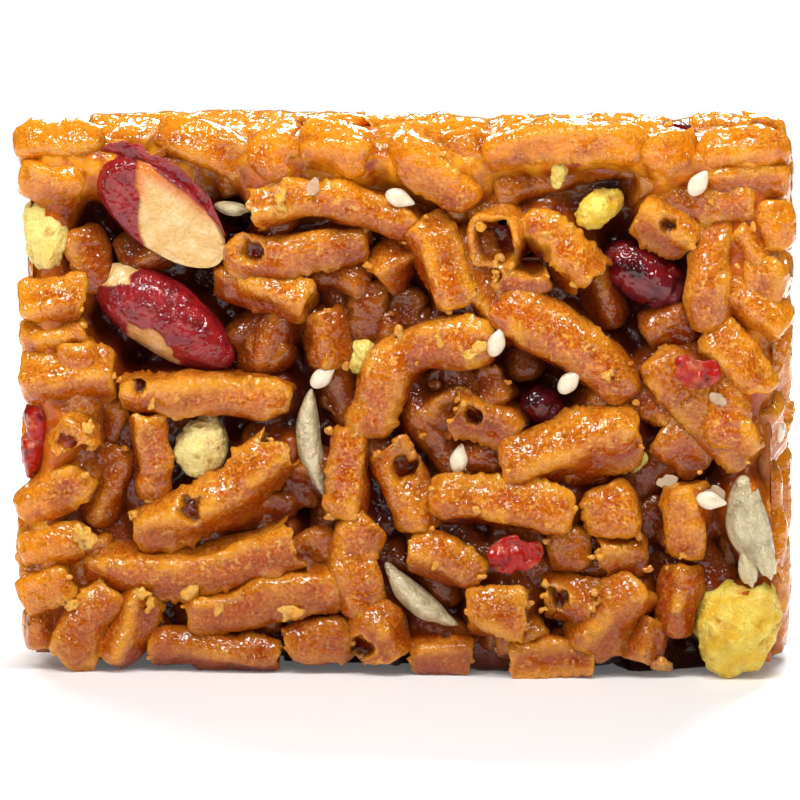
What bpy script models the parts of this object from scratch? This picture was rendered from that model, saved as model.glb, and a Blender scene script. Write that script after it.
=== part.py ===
"""Sachima: a cut block of fried dough strands bound with syrup, studded with nuts, fruit and puffs.

The block stands on its base, and the face that is cut through its filling looks along -Y.
Lengths are in millimetres until an object is made. The origin is the middle of the base.
"""

import math
import random
from typing import NamedTuple

import bmesh
import bpy
import numpy as np
from mathutils import Matrix, Vector, noise

MM = 0.001
SEED = 20

# Driving dimensions of the block and of what it is made of
WIDTH = 78.0
DEPTH = 40.0
HEIGHT = 56.0
STRAND_GIRTH = 4.4
STRAND_SIDES = 6
BEND_PER_RING = 1.1
THINNER_END = 0.09
CORE_INSET = (2.4, 3.2, 2.6)  # behind the side faces, the cut faces, top and base
CORE_CUTS = 2
CORE_LUMP = 0.45
LUMP_GRAIN = 9.0
FLAT_ANGLE = 1.0
CLEARANCE = 0.4
MEAN_FILL = 0.93  # how far a topping's uneven shape fills its ellipsoid
LARGE_TOPPING = 7.0
PROUD = 0.6
SHORTEST_STRAND = 3.5
STRAIGHT_STRAND = 6.0
MOST_BENDS = 4
POINT_STEP = 1.5
PLACES_TESTED, SIDES_TESTED = 25, 10  # along and round a strand, for its clearance
SESAME_SIZE = (3.1, 1.9, 1.3)
SESAME_BEDDED = 0.75  # the share of a seed's thickness that is pressed in
BASE_TRIM = 0.75

SYRUP_GLOSS = 0.22
DRY_CRUMB = 0.7


class Face(NamedTuple):
    """One side of the block: its lower left corner as seen from outside, and its directions."""

    corner: Vector
    across: Vector
    up: Vector
    out: Vector
    width: float
    height: float

    def at(self, across, up, deep):
        """The point that lies deep millimetres behind this face."""
        return self.corner + self.across * across + self.up * up - self.out * deep


LEFT, RIGHT, FRONT, BACK = -WIDTH / 2, WIDTH / 2, -DEPTH / 2, DEPTH / 2
X, Y, Z = Vector((1, 0, 0)), Vector((0, 1, 0)), Vector((0, 0, 1))
FACES = {
    "front": Face(Vector((LEFT, FRONT, 0)), X, Z, -Y, WIDTH, HEIGHT),
    "back": Face(Vector((RIGHT, BACK, 0)), -X, Z, Y, WIDTH, HEIGHT),
    "left": Face(Vector((LEFT, BACK, 0)), -Y, Z, -X, DEPTH, HEIGHT),
    "right": Face(Vector((RIGHT, FRONT, 0)), Y, Z, X, DEPTH, HEIGHT),
    "top": Face(Vector((LEFT, FRONT, HEIGHT)), X, Y, Z, WIDTH, DEPTH),
    "base": Face(Vector((LEFT, BACK, 0)), X, -Y, -Z, WIDTH, DEPTH),
}


class Strand(NamedTuple):
    """A strand's axis, a curve with one bend, and its girth."""

    start: Vector
    bend: Vector
    end: Vector
    girth: float

    def at(self, t):
        """The point at share t of the axis, by the formula of a quadratic curve."""
        return self.start * (1 - t) ** 2 + self.bend * 2 * t * (1 - t) + self.end * t**2

    def piece(self, low, high):
        """The stretch of this strand between two shares of its axis."""
        middle = (
            self.start * (1 - low) * (1 - high)
            + self.bend * (low + high - 2 * low * high)
            + self.end * low * high
        )
        return Strand(self.at(low), middle, self.at(high), self.girth)

    def length(self):
        return (self.bend - self.start).length / 2 + (self.end - self.bend).length / 2 + (
            self.end - self.start
        ).length / 2


def laid(face, ends, bow, sinks, girth):
    """A strand laid on a face. A sink is how far its near side lies behind the face."""
    (across_1, up_1), (across_2, up_2) = ends
    start = face.at(across_1, up_1, sinks[0] + girth / 2)
    end = face.at(across_2, up_2, sinks[1] + girth / 2)
    run = end - start
    aside = face.out.cross(run)
    if aside.length:
        aside.normalize()
    return Strand(start, (start + end) / 2 + aside * 2 * bow, end, girth)


# The strands that show on the front: where each starts and ends, across and up from the lower
# left corner of the face, its bow to the left of that run, its sinks at both ends, its girth
FRONT_STRANDS = (
    # the top edge, from left to right
    ((1.9, 52.4), (8.4, 53.0), 0.3, (0.6, 0.8), 4.3),
    ((11.8, 53.6), (23.6, 51.4), 0.5, (2.6, 1.2), 4.3),
    ((24.4, 52.4), (28.4, 51.2), 0.2, (0.2, 0.3), 4.6),
    ((29.6, 52.6), (35.8, 52.2), 0.2, (0.0, 0.2), 4.6),
    ((38.8, 53.0), (46.4, 47.6), 0.3, (0.0, 0.2), 5.0),
    ((43.6, 52.6), (47.4, 51.6), 0.1, (1.4, 1.4), 4.2),
    ((48.2, 51.8), (63.4, 52.6), 1.0, (0.2, 0.2), 3.9),
    ((55.6, 50.4), (61.4, 51.2), 0.1, (2.2, 2.2), 3.8),
    ((63.8, 51.4), (68.2, 52.2), 0.2, (0.2, 0.3), 4.6),
    ((69.4, 52.0), (76.2, 52.6), 0.2, (0.1, 0.4), 4.2),
    ((70.2, 49.8), (76.2, 49.4), 0.2, (0.4, 0.5), 4.0),
    # the upper left
    ((2.4, 49.9), (7.0, 49.4), 0.2, (0.5, 0.6), 4.2),
    ((5.8, 46.2), (8.4, 45.0), 0.2, (0.4, 0.8), 3.8),
    ((2.3, 37.6), (7.0, 37.4), 0.2, (0.0, 0.1), 4.4),
    ((2.2, 34.0), (7.2, 34.2), -0.2, (0.7, 0.8), 4.0),
    ((2.6, 29.8), (10.0, 30.6), 0.1, (0.1, 0.2), 4.5),
    # round the arched strand
    ((24.6, 47.0), (40.4, 45.4), 1.8, (0.0, 0.1), 4.1),
    ((21.8, 42.4), (35.6, 43.8), -0.4, (0.6, 1.4), 4.2),
    ((17.4, 40.2), (29.8, 37.6), 0.4, (3.6, 0.1), 4.2),
    ((30.9, 36.6), (32.2, 31.2), 0.2, (0.4, 0.2), 4.2),
    ((40.8, 45.6), (45.2, 37.4), 0.4, (0.0, 0.3), 4.1),
    ((39.8, 43.2), (36.6, 40.2), 0.1, (1.2, 0.6), 4.1),
    ((39.5, 37.2), (39.7, 37.0), 0.0, (1.4, 4.5), 4.0),
    ((25.3, 33.4), (25.7, 33.2), 0.0, (0.2, 4.0), 4.6),
    ((32.5, 27.4), (32.7, 27.2), 0.0, (1.8, 4.5), 3.6),
    # the two great arcs of the middle
    ((46.2, 45.0), (49.2, 36.6), -0.8, (1.0, 0.5), 4.8),
    ((48.4, 37.2), (62.2, 28.8), 1.1, (0.3, 0.1), 5.4),
    ((48.2, 33.7), (35.8, 24.2), -4.3, (0.2, 0.1), 5.2),
    ((48.4, 44.2), (50.0, 45.2), 0.0, (-0.2, 4.0), 5.8),
    ((51.4, 46.0), (59.6, 37.6), 0.6, (0.1, 0.0), 4.7),
    ((48.8, 39.9), (53.8, 40.8), -0.1, (0.0, 0.0), 3.9),
    ((43.8, 29.9), (44.0, 29.7), 0.0, (1.8, 4.5), 4.1),
    ((46.6, 27.8), (55.2, 33.0), 0.5, (1.6, 1.8), 4.4),
    ((40.8, 25.0), (46.0, 28.2), 0.2, (1.7, 1.8), 4.6),
    ((44.6, 26.8), (50.6, 24.0), 0.3, (0.4, 0.8), 4.4),
    ((49.8, 20.7), (63.2, 24.8), 0.5, (0.0, 0.0), 5.4),
    # the upper right
    ((64.8, 48.1), (74.4, 47.7), -0.2, (1.2, 0.8), 4.0),
    ((63.2, 47.0), (68.4, 43.8), 0.2, (-0.3, 0.0), 4.4),
    ((72.4, 44.7), (74.6, 41.8), 0.2, (0.2, 0.4), 3.8),
    ((76.0, 48.0), (76.2, 43.4), 0.0, (0.4, 0.4), 3.7),
    ((75.9, 42.2), (75.4, 38.0), 0.0, (0.3, 0.3), 4.0),
    ((69.2, 40.0), (76.2, 35.8), 0.4, (1.2, 0.4), 4.5),
    ((70.5, 35.4), (74.6, 28.8), 0.5, (1.3, 0.3), 4.6),
    ((64.6, 32.4), (76.2, 21.4), -0.5, (1.3, 0.0), 5.0),
    ((65.0, 24.6), (69.6, 21.4), 0.2, (0.6, 0.6), 4.9),
    # the left edge and the lower left
    ((4.9, 25.6), (6.6, 22.6), 0.2, (0.2, 0.0), 4.0),
    ((6.8, 20.6), (2.6, 17.4), 0.2, (0.1, 0.1), 4.2),
    ((10.2, 22.8), (7.0, 15.0), 0.3, (1.4, 1.6), 4.2),
    ((2.5, 17.0), (2.0, 8.4), 0.0, (1.6, 1.4), 3.5),
    ((3.2, 12.4), (7.0, 12.8), 0.1, (0.3, 0.3), 4.4),
    ((5.6, 9.6), (2.2, 8.0), 0.0, (0.0, 0.1), 4.0),
    ((1.9, 6.4), (2.4, 2.4), 0.0, (0.4, 0.6), 3.5),
    ((9.4, 8.4), (4.4, 1.6), 0.3, (0.8, 0.4), 4.8),
    ((13.2, 7.9), (8.8, 1.6), 0.2, (0.8, 0.5), 4.2),
    ((10.8, 28.3), (28.6, 27.7), 0.3, (0.1, 0.0), 4.1),
    ((13.5, 26.2), (13.5, 17.6), 0.1, (0.2, 1.4), 4.0),
    ((12.2, 14.6), (27.6, 23.4), -1.6, (0.0, 0.0), 4.7),
    ((7.2, 11.3), (28.0, 13.4), -1.9, (0.2, 0.0), 4.6),
    ((13.6, 2.1), (26.6, 1.9), 0.2, (0.5, 0.4), 3.6),
    ((17.4, 6.0), (33.0, 8.8), 0.3, (0.3, 1.0), 4.5),
    ((26.2, 9.8), (32.4, 13.4), 0.2, (1.6, 1.6), 3.7),
    ((27.8, 2.4), (34.0, 3.8), 0.2, (0.6, 0.8), 4.6),
    # the lower middle
    ((33.5, 25.0), (33.5, 16.0), 0.1, (0.0, 0.0), 4.3),
    ((37.8, 23.0), (41.3, 14.8), 0.4, (0.5, 0.3), 4.2),
    ((42.4, 18.0), (56.4, 16.4), 0.4, (0.0, 0.1), 4.6),
    ((38.8, 12.8), (48.2, 10.0), 0.3, (0.1, 0.2), 4.2),
    ((36.4, 15.4), (36.2, 6.4), -2.3, (0.3, 0.2), 4.7),
    ((35.6, 6.6), (38.0, 1.8), 0.2, (-0.1, 0.0), 4.8),
    ((40.4, 1.7), (45.8, 1.8), 0.0, (0.8, 0.8), 3.6),
    ((46.2, 6.5), (52.0, 6.4), 0.1, (0.1, 0.0), 5.0),
    ((49.6, 3.4), (53.6, 4.8), -0.2, (1.2, 1.2), 4.2),
    ((54.2, 12.5), (58.4, 12.9), 0.1, (0.4, 0.3), 4.4),
    ((53.8, 8.4), (58.6, 7.8), 0.1, (0.2, 0.2), 4.0),
    ((50.6, 1.6), (58.4, 1.8), 0.3, (0.1, 0.2), 3.9),
    # the lower right
    ((60.2, 19.6), (61.2, 14.4), 0.2, (0.2, 0.1), 5.4),
    ((59.4, 12.0), (64.0, 12.6), 0.1, (0.4, 0.4), 4.2),
    ((63.4, 9.6), (57.8, 2.6), -0.3, (0.3, 0.5), 5.4),
    ((64.2, 6.0), (63.2, 1.8), 0.0, (1.6, 1.6), 4.0),
    ((68.0, 19.6), (67.8, 12.6), 0.1, (0.0, 0.1), 4.3),
    ((67.3, 11.4), (66.6, 4.8), 0.2, (0.2, 0.3), 4.0),
    ((72.0, 14.4), (70.4, 11.0), 0.2, (1.2, 1.4), 4.2),
)

# How many strands lie on each face that the front doesn't show, and how each is chosen: of some
# seeded draws, the one that covers the most bare ground and crosses the least
HIDDEN_STRANDS = {"top": 17, "back": 27, "left": 14, "right": 15, "base": 13}
STRAND_LENGTHS = (21.0, 8.0)
STRAND_GIRTHS = (4.2, 5.2)
STRAND_SINKS = (0.0, 0.8)
BOW_SHARE = 0.17
END_ON_EVERY = 5
FIRST_END_ON = 2
FOOT_DEPTH, TIP_DEPTH = 4.4, 0.9  # of a strand that is seen end on
END_ON_LEAN = 1.0
RIM = 0.3
DRAWS_PER_STRAND = 90
GROUND_STEP = 1.5
CROSSING_COST = 1.3


def random_strand(face, length, draws):
    """A strand of about this length somewhere on the face, lying flat on it."""
    girth = draws.uniform(*STRAND_GIRTHS)
    middle = (draws.uniform(0, face.width), draws.uniform(0, face.height))
    turn = draws.uniform(0, math.pi)
    bow = draws.uniform(-BOW_SHARE, BOW_SHARE) * length
    sink = -BASE_TRIM if face.out.z < 0 else draws.uniform(*STRAND_SINKS)
    run = (math.cos(turn) * length / 2, math.sin(turn) * length / 2)
    ends = (
        (middle[0] - run[0], middle[1] - run[1]),
        (middle[0] + run[0], middle[1] + run[1]),
    )
    return laid(face, ends, bow, (sink, sink), girth)


def end_on_strand(face, draws):
    """A strand that stands out of a cut face, so that only its round end shows."""
    girth = draws.uniform(*STRAND_GIRTHS)
    room = girth / 2 + RIM
    foot = (draws.uniform(room, face.width - room), draws.uniform(room, face.height - room))
    tip = [place + draws.uniform(-END_ON_LEAN, END_ON_LEAN) for place in foot]
    return laid(face, (foot, tip), 0.0, (FOOT_DEPTH - girth / 2, TIP_DEPTH - girth / 2), girth)


def points_along(strand):
    """Points on the axis, evenly spaced, as an array."""
    return frames_along(strand, max(3, round(strand.length() / POINT_STEP)))[0]


def inside_block(points, radius):
    """Whether a strand with these axis points stays in the block, but for what the base trims."""
    low = np.array((LEFT, FRONT, -BASE_TRIM)) + radius
    high = np.array((RIGHT, BACK, HEIGHT)) - radius
    return bool((points > low - 0.01).all() and (points < high + 0.01).all())


def ground_points(face):
    """A grid of points just under a face, which its strands are to cover."""
    across = np.arange(GROUND_STEP / 2, face.width, GROUND_STEP)
    up = np.arange(GROUND_STEP / 2, face.height, GROUND_STEP)
    return np.array([face.at(a, u, STRAND_GIRTH / 2) for a in across for u in up])


def near(points, strand):
    """Which of these points a strand covers."""
    gaps = np.linalg.norm(points[:, None] - points_along(strand)[None], axis=2)
    return gaps.min(axis=1) < strand.girth / 2


def hidden_strands(front, toppings):
    """Strands for the other faces, the longest first, spread so that little ground stays bare."""
    draws = random.Random(SEED)
    found = []
    for name, wanted in HIDDEN_STRANDS.items():
        face = FACES[name]
        ground = ground_points(face)
        covered = np.zeros(len(ground))
        for strand in front + found:
            covered += near(ground, strand)
        for topping in toppings:
            covered += 2 * inside_topping(ground, topping)
        cut_face = abs(face.out.z) < 0.5
        for i in range(wanted):
            longest, shortest = STRAND_LENGTHS
            length = longest + (shortest - longest) * i / (wanted - 1)
            best, most = None, 0
            for _ in range(DRAWS_PER_STRAND):
                if cut_face and i % END_ON_EVERY == FIRST_END_ON:
                    strand = end_on_strand(face, draws)
                    fits = True
                else:
                    strand = random_strand(face, length, draws)
                    fits = inside_block(points_along(strand), strand.girth / 2)
                if not fits or clear_stretch(strand, toppings) != (0.0, 1.0):
                    continue
                under = covered[near(ground, strand)]
                gain = (under == 0).sum() - CROSSING_COST * under.sum()
                if gain > most:
                    best, most = strand, gain
            if best:
                found.append(best)
                covered += near(ground, best)
    return found


class Topping(NamedTuple):
    """A piece bedded in the block: its kind, place and turn on a face, its size, its sink."""

    name: str
    kind: str
    face: str
    middle: tuple
    turn: float
    size: tuple
    sink: float

    def centre(self):
        return FACES[self.face].at(*self.middle, self.sink + self.size[2] / 2)

    def matrix(self):
        """Its own directions: along its length, across it, and out of the face."""
        face, turn = FACES[self.face], math.radians(self.turn)
        along = face.across * math.cos(turn) + face.up * math.sin(turn)
        turned = Matrix((along, face.out.cross(along), face.out)).transposed()
        return Matrix.Translation(self.centre()) @ turned.to_4x4()


TOPPINGS = (
    Topping("peanut_half", "peanut", "front", (14.8, 46.9), -40, (16.2, 8.6, 5.6), 0.0),
    Topping("peanut_whole", "peanut", "front", (14.9, 35.9), -34, (16.6, 8.4, 7.2), 1.0),
    Topping("raisin", "raisin", "front", (63.6, 40.6), -33, (9.8, 6.2, 5.4), 1.9),
    Topping("raisin_deep", "raisin", "front", (53.2, 27.3), -20, (5.0, 4.0, 3.8), 2.8),
    Topping("puff_corner", "puff", "front", (73.2, 5.0), 62, (10.4, 9.0, 8.0), 0.2),
    Topping("puff_left", "puff", "front", (18.8, 22.8), 70, (6.8, 5.4, 5.0), 1.2),
    Topping("puff_upper", "puff", "front", (58.9, 47.1), 38, (5.8, 3.4, 4.0), 1.0),
    Topping("puff_edge", "puff", "front", (3.0, 44.2), 102, (7.4, 4.6, 5.6), 0.5),
    Topping("kernel_left", "kernel", "front", (29.9, 23.6), -84, (10.6, 2.5, 3.0), 2.0),
    Topping("kernel_low", "kernel", "front", (40.8, 7.8), -41, (9.4, 2.6, 3.0), 1.4),
    Topping("kernel_right", "kernel", "front", (74.2, 15.8), -76, (9.8, 4.4, 4.0), 0.6),
    Topping("skin_right", "skin", "front", (68.9, 30.9), -8, (5.4, 3.6, 1.5), -0.6),
    Topping("skin_low", "skin", "front", (50.8, 12.6), 12, (5.0, 3.4, 2.0), 0.4),
    Topping("skin_edge", "skin", "front", (1.9, 24.4), 82, (8.6, 2.6, 5.4), 0.4),
    Topping("peanut_rim", "peanut", "top", (49.4, 34.0), 6, (15.0, 7.4, 6.6), 0.0),
    Topping("puff_top", "puff", "top", (18.0, 27.0), 30, (7.0, 6.0, 5.0), 0.2),
    Topping("raisin_top", "raisin", "top", (66.0, 17.0), 65, (9.0, 5.4, 4.6), 0.2),
    Topping("peanut_back", "peanut", "back", (23.0, 38.0), 28, (16.0, 8.2, 7.2), 0.2),
    Topping("peanut_low", "peanut", "back", (56.0, 17.0), -52, (15.4, 8.0, 7.0), 0.3),
    Topping("raisin_back", "raisin", "back", (49.0, 43.0), -20, (9.6, 5.8, 5.0), 0.4),
    Topping("puff_back", "puff", "back", (27.0, 14.0), 15, (8.0, 6.6, 6.0), 0.2),
    Topping("kernel_back", "kernel", "back", (66.0, 36.0), 70, (10.0, 3.0, 3.0), 0.4),
    Topping("peanut_left", "peanut", "left", (16.0, 32.0), 62, (15.0, 7.8, 6.8), 0.2),
    Topping("puff_side", "puff", "left", (27.0, 12.0), 10, (6.6, 5.6, 5.0), 0.2),
    Topping("raisin_right", "raisin", "right", (24.0, 39.0), 40, (9.4, 5.6, 5.0), 0.3),
    Topping("kernel_side", "kernel", "right", (17.0, 18.0), -35, (10.0, 3.0, 3.0), 0.4),
)

# Crumbs that are too small to stand alone, deep between the front's strands
FRONT_CRUMBS = (
    Topping("crumb", "puff", "front", (35.6, 31.8), -20, (5.2, 4.2, 4.0), 2.3),
    Topping("crumb", "puff", "front", (61.6, 21.9), 5, (4.7, 2.9, 3.4), 2.2),
    Topping("crumb", "kernel", "front", (22.2, 47.2), -8, (3.6, 1.4, 2.8), 1.2),
)

# Sesame seeds on the front: across, up, turn, sink of the near side
FRONT_SESAME = (
    (39.2, 48.2, -20, 0.6),
    (69.0, 49.9, 10, 0.2),
    (48.9, 33.9, 70, 0.5),
    (45.0, 22.0, 80, 2.3),
    (56.2, 30.0, 50, 0.9),
    (31.3, 30.2, 40, 1.6),
    (70.4, 18.2, -10, 0.2),
)
HIDDEN_SESAME = {"top": 4, "back": 5, "left": 2, "right": 2}


def frames_along(strand, count):
    """Points on the axis with two directions square to it, each an array of count rows."""
    t = np.linspace(0, 1, count)[:, None]
    start, bend, end = (np.array(p) for p in (strand.start, strand.bend, strand.end))
    places = start * (1 - t) ** 2 + bend * 2 * t * (1 - t) + end * t**2
    headings = (bend - start) * (1 - t) + (end - bend) * t
    headings /= np.linalg.norm(headings, axis=1)[:, None]
    least = np.eye(3)[np.abs(end - start).argmin()]
    sides = np.cross(headings, least)
    sides /= np.linalg.norm(sides, axis=1)[:, None]
    return places, sides, np.cross(headings, sides)


def clear_stretch(strand, toppings):
    """The longest stretch of a strand that keeps clear of the toppings, as two shares."""
    places, sides, others = frames_along(strand, PLACES_TESTED)
    angles = np.linspace(0, 2 * np.pi, SIDES_TESTED, endpoint=False)[:, None, None]
    skin = places + (sides * np.cos(angles) + others * np.sin(angles)) * strand.girth / 2
    samples = np.concatenate([places[None], skin])
    clear = np.ones(PLACES_TESTED, bool)
    for topping in toppings:
        clear &= ~inside_topping(samples, topping).any(axis=0)
    best, start = (0, -1), 0
    for i, free in enumerate(clear):
        if not free:
            start = i + 1
        elif i - start > best[1] - best[0]:
            best = (start, i)
    return best[0] / (PLACES_TESTED - 1), best[1] / (PLACES_TESTED - 1)


def inside_topping(points, topping):
    """Whether each point comes nearer than the clearance to a topping's ellipsoid."""
    place = topping.matrix()
    turned = (points - np.array(place.translation)) @ np.array(place.to_3x3())
    halves = np.array(topping.size) / 2 * MEAN_FILL + CLEARANCE
    return ((turned / halves) ** 2).sum(axis=-1) < 1


def new_material(name, colour, roughness):
    """A Principled surface whose colour is given as sRGB hex digits."""
    channels = [int(colour[i : i + 2], 16) / 255 for i in (0, 2, 4)]
    linear = [((c + 0.055) / 1.055) ** 2.4 if c > 0.04045 else c / 12.92 for c in channels]
    material = bpy.data.materials.new(name)
    material.use_nodes = True
    surface = material.node_tree.nodes["Principled BSDF"]
    surface.inputs["Base Color"].default_value = (*linear, 1)
    surface.inputs["Roughness"].default_value = roughness
    surface.inputs["Metallic"].default_value = 0
    return material


def linked(name, data, collection=None):
    """A new object, in the scene's own collection if no other is given."""
    made = bpy.data.objects.new(name, data)
    (collection or bpy.context.scene.collection).objects.link(made)
    return made


def mesh_of(name, build, *details):
    """A mesh made by a function that fills a bmesh to these details."""
    shape = bmesh.new()
    build(shape, *details)
    bmesh.ops.triangulate(shape, faces=shape.faces)
    bmesh.ops.recalc_face_normals(shape, faces=shape.faces)
    mesh = bpy.data.meshes.new(name)
    shape.to_mesh(mesh)
    shape.free()
    return mesh


def core_shape(shape):
    """The heart of the block: a box with uneven sides, a strand's depth in from every face."""
    bmesh.ops.create_cube(shape, size=1)
    bmesh.ops.subdivide_edges(shape, edges=shape.edges, cuts=CORE_CUTS, use_grid_fill=True)
    sides = Vector((WIDTH, DEPTH, HEIGHT)) - 2 * Vector(CORE_INSET)
    for vertex in shape.verts:
        place = Vector([x * side for x, side in zip(vertex.co, sides)])
        place += noise.noise_vector(place / LUMP_GRAIN) * CORE_LUMP
        vertex.co = (place + Vector((0, 0, HEIGHT / 2))) * MM


def ellipsoid(shape, size, detail):
    """A ball of triangles stretched to a size."""
    bmesh.ops.create_icosphere(shape, subdivisions=detail, radius=0.5)
    for vertex in shape.verts:
        vertex.co = Vector([x * side for x, side in zip(vertex.co, size)]) * MM


def uneven(shape, depth, grain):
    """Pushes every corner towards the middle by up to a share, by noise, so none lies outside."""
    for vertex in shape.verts:
        push = 0.5 + 0.5 * noise.noise(vertex.co / (grain * MM))
        vertex.co *= 1 - depth * push


def egg(shape, size, sides, taper):
    """A ball stretched along X, slimmer by a share at its far end."""
    lying = Matrix.Rotation(math.pi / 2, 4, "Y")
    bmesh.ops.create_uvsphere(shape, u_segments=sides, v_segments=7, radius=0.5, matrix=lying)
    for vertex in shape.verts:
        x, y, z = vertex.co
        slim = 1 - taper * (x + 0.5)
        vertex.co = Vector((x * size[0], y * size[1] * slim, z * size[2] * slim)) * MM


def peanut_shape(shape, size):
    """A kernel in its skin: an egg that is a little slimmer at its germ."""
    egg(shape, size, 10, 0.16)
    uneven(shape, 0.05, 5)


def raisin_shape(shape, size):
    """A shrunken grape: an ellipsoid with deep creases."""
    ellipsoid(shape, size, 2)
    uneven(shape, 0.26, 1.7)


def puff_shape(shape, size):
    """A crisp puffed crumb with a lumpy skin."""
    ellipsoid(shape, size, 2)
    uneven(shape, 0.22, 2.4)


def kernel_shape(shape, size):
    """A peeled seed: a spindle that is blunt at one end and pointed at the other."""
    egg(shape, size, 7, 0.45)


def skin_shape(shape, size):
    """A torn scrap of red fruit skin: flat, with an uneven rim."""
    ellipsoid(shape, size, 2)
    uneven(shape, 0.3, 1.3)


TOPPING_SHAPES = {
    "peanut": peanut_shape,
    "raisin": raisin_shape,
    "puff": puff_shape,
    "kernel": kernel_shape,
    "skin": skin_shape,
}
TOPPING_FINISHES = {
    "peanut": ("peanut_skin", "8E2A2C", SYRUP_GLOSS),
    "raisin": ("raisin", "4A1216", SYRUP_GLOSS),
    "puff": ("corn_puff", "E6C53A", DRY_CRUMB),
    "kernel": ("seed_kernel", "C9AC80", SYRUP_GLOSS),
    "skin": ("fruit_skin", "A03434", SYRUP_GLOSS),
}


def pressed_flat(mesh, topping):
    """Turns a topping's mesh to its face, and flattens whatever would stand out of the block."""
    centre = topping.centre()
    low = Vector((LEFT, FRONT - PROUD, 0)) - centre
    high = Vector((RIGHT, BACK, HEIGHT)) - centre
    turned = topping.matrix().to_3x3()
    for vertex in mesh.vertices:
        place = turned @ (vertex.co / MM)
        vertex.co = Vector([min(max(x, a), b) for x, a, b in zip(place, low, high)]) * MM


def add_toppings():
    """One object for each topping, standing at its own centre."""
    finishes = {kind: new_material(*finish) for kind, finish in TOPPING_FINISHES.items()}
    for topping in TOPPINGS:
        mesh = mesh_of(topping.name, TOPPING_SHAPES[topping.kind], topping.size)
        pressed_flat(mesh, topping)
        mesh.materials.append(finishes[topping.kind])
        mesh.shade_smooth()
        made = linked(topping.name, mesh)
        made.location = topping.centre() * MM


def ball_at(piece, size, detail, collection):
    """A ball stretched to a size, at a piece's place and turn."""
    made = linked(piece.name, mesh_of(piece.name, ellipsoid, size, detail), collection)
    place = piece.matrix()
    made.location = place.translation * MM
    made.rotation_euler = place.to_euler()


def add_bed(topping, collection):
    """The hollow that a topping needs in the core, with the clearance all round."""
    detail, flat_share = (2, 0.93) if topping.size[0] > LARGE_TOPPING else (1, 0.8)
    size = [(side + 2 * CLEARANCE) / flat_share for side in topping.size]
    ball_at(topping, size, detail, collection)


def strand_shape(shape, strand):
    """A strand as a tube with flat ends: rings of corners carried along its axis."""
    rings = 2
    if strand.length() > STRAIGHT_STRAND:
        bend = (strand.bend - (strand.start + strand.end) / 2).length
        rings = 3 + round(min(MOST_BENDS, bend / BEND_PER_RING))
    loops = []
    for t, place, side, other in zip(np.linspace(0, 1, rings), *frames_along(strand, rings)):
        radius = strand.girth / 2 * (1 - THINNER_END * abs(2 * t - 0.8))
        ring = []
        for k in range(STRAND_SIDES):
            angle = 2 * math.pi * k / STRAND_SIDES
            corner = place + (side * math.cos(angle) + other * math.sin(angle)) * radius
            ring.append(shape.verts.new(corner * MM))
        loops.append(ring)
    for near_ring, far_ring in zip(loops, loops[1:]):
        for k in range(STRAND_SIDES):
            after = (k + 1) % STRAND_SIDES
            shape.faces.new((near_ring[k], near_ring[after], far_ring[after], far_ring[k]))
    shape.faces.new(reversed(loops[0]))
    shape.faces.new(loops[-1])


def lies_on(strand, face):
    """Whether both ends of a strand are near this face."""
    return all(abs((end - face.corner).dot(face.out)) < STRAND_GIRTH for end in (strand.start, strand.end))


def hidden_seeds(strands):
    """Seeds on the other faces: each is pressed into the near side of a strand that lies there."""
    draws = random.Random(SEED + 1)
    seeds = []
    for name, wanted in HIDDEN_SESAME.items():
        face = FACES[name]
        here = [strand for strand in strands if lies_on(strand, face)]
        for strand in draws.sample(here, min(wanted, len(here))):
            offset = strand.at(draws.uniform(0.3, 0.7)) - face.corner
            near_side = -offset.dot(face.out) - strand.girth / 2
            sink = near_side - SESAME_SIZE[2] * (1 - SESAME_BEDDED)
            middle = (offset.dot(face.across), offset.dot(face.up))
            seeds.append(
                Topping("sesame", "sesame", name, middle, draws.uniform(0, 180), SESAME_SIZE, sink)
            )
    return seeds


def slab_shape(shape):
    """A slab whose top is the plane that the block stands on."""
    thick = HEIGHT / 2
    size = Vector((2 * WIDTH, 2 * DEPTH, thick))
    bmesh.ops.create_cube(shape, size=1)
    for vertex in shape.verts:
        place = Vector([x * side for x, side in zip(vertex.co, size)])
        vertex.co = (place - Vector((0, 0, thick / 2))) * MM


def boolean(target, operation, collection):
    """Applies one Boolean with everything in a collection, then removes those objects."""
    modifier = target.modifiers.new(operation.lower(), "BOOLEAN")
    modifier.operation = operation
    modifier.operand_type = "COLLECTION"
    modifier.collection = collection
    modifier.solver = "MANIFOLD"
    graph = bpy.context.evaluated_depsgraph_get()
    result = bpy.data.meshes.new_from_object(target.evaluated_get(graph))
    target.modifiers.clear()
    target.data = result
    for helper in list(collection.objects):
        bpy.data.objects.remove(helper)
    bpy.data.collections.remove(collection)


def merge_flat_faces(mesh):
    """Joins neighbouring faces that lie in one plane, and splits the result into triangles."""
    shape = bmesh.new()
    shape.from_mesh(mesh)
    bmesh.ops.dissolve_limit(
        shape, angle_limit=math.radians(FLAT_ANGLE), verts=shape.verts, edges=shape.edges
    )
    bmesh.ops.triangulate(shape, faces=shape.faces)
    shape.to_mesh(mesh)
    shape.free()


def keep_outer_shell(mesh):
    """Fills hollows that the fusing sealed and drops loose scraps: only the largest shell stays."""
    shape = bmesh.new()
    shape.from_mesh(mesh)
    shape.verts.ensure_lookup_table()
    left = set(shape.verts)
    shells = []
    while left:
        shell, edge = set(), [left.pop()]
        while edge:
            vertex = edge.pop()
            shell.add(vertex)
            for link in vertex.link_edges:
                other = link.other_vert(vertex)
                if other in left:
                    left.discard(other)
                    edge.append(other)
        shells.append(shell)
    shells.sort(key=len)
    for shell in shells[:-1]:
        bmesh.ops.delete(shape, geom=list(shell), context="VERTS")
    shape.to_mesh(mesh)
    shape.free()


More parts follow.
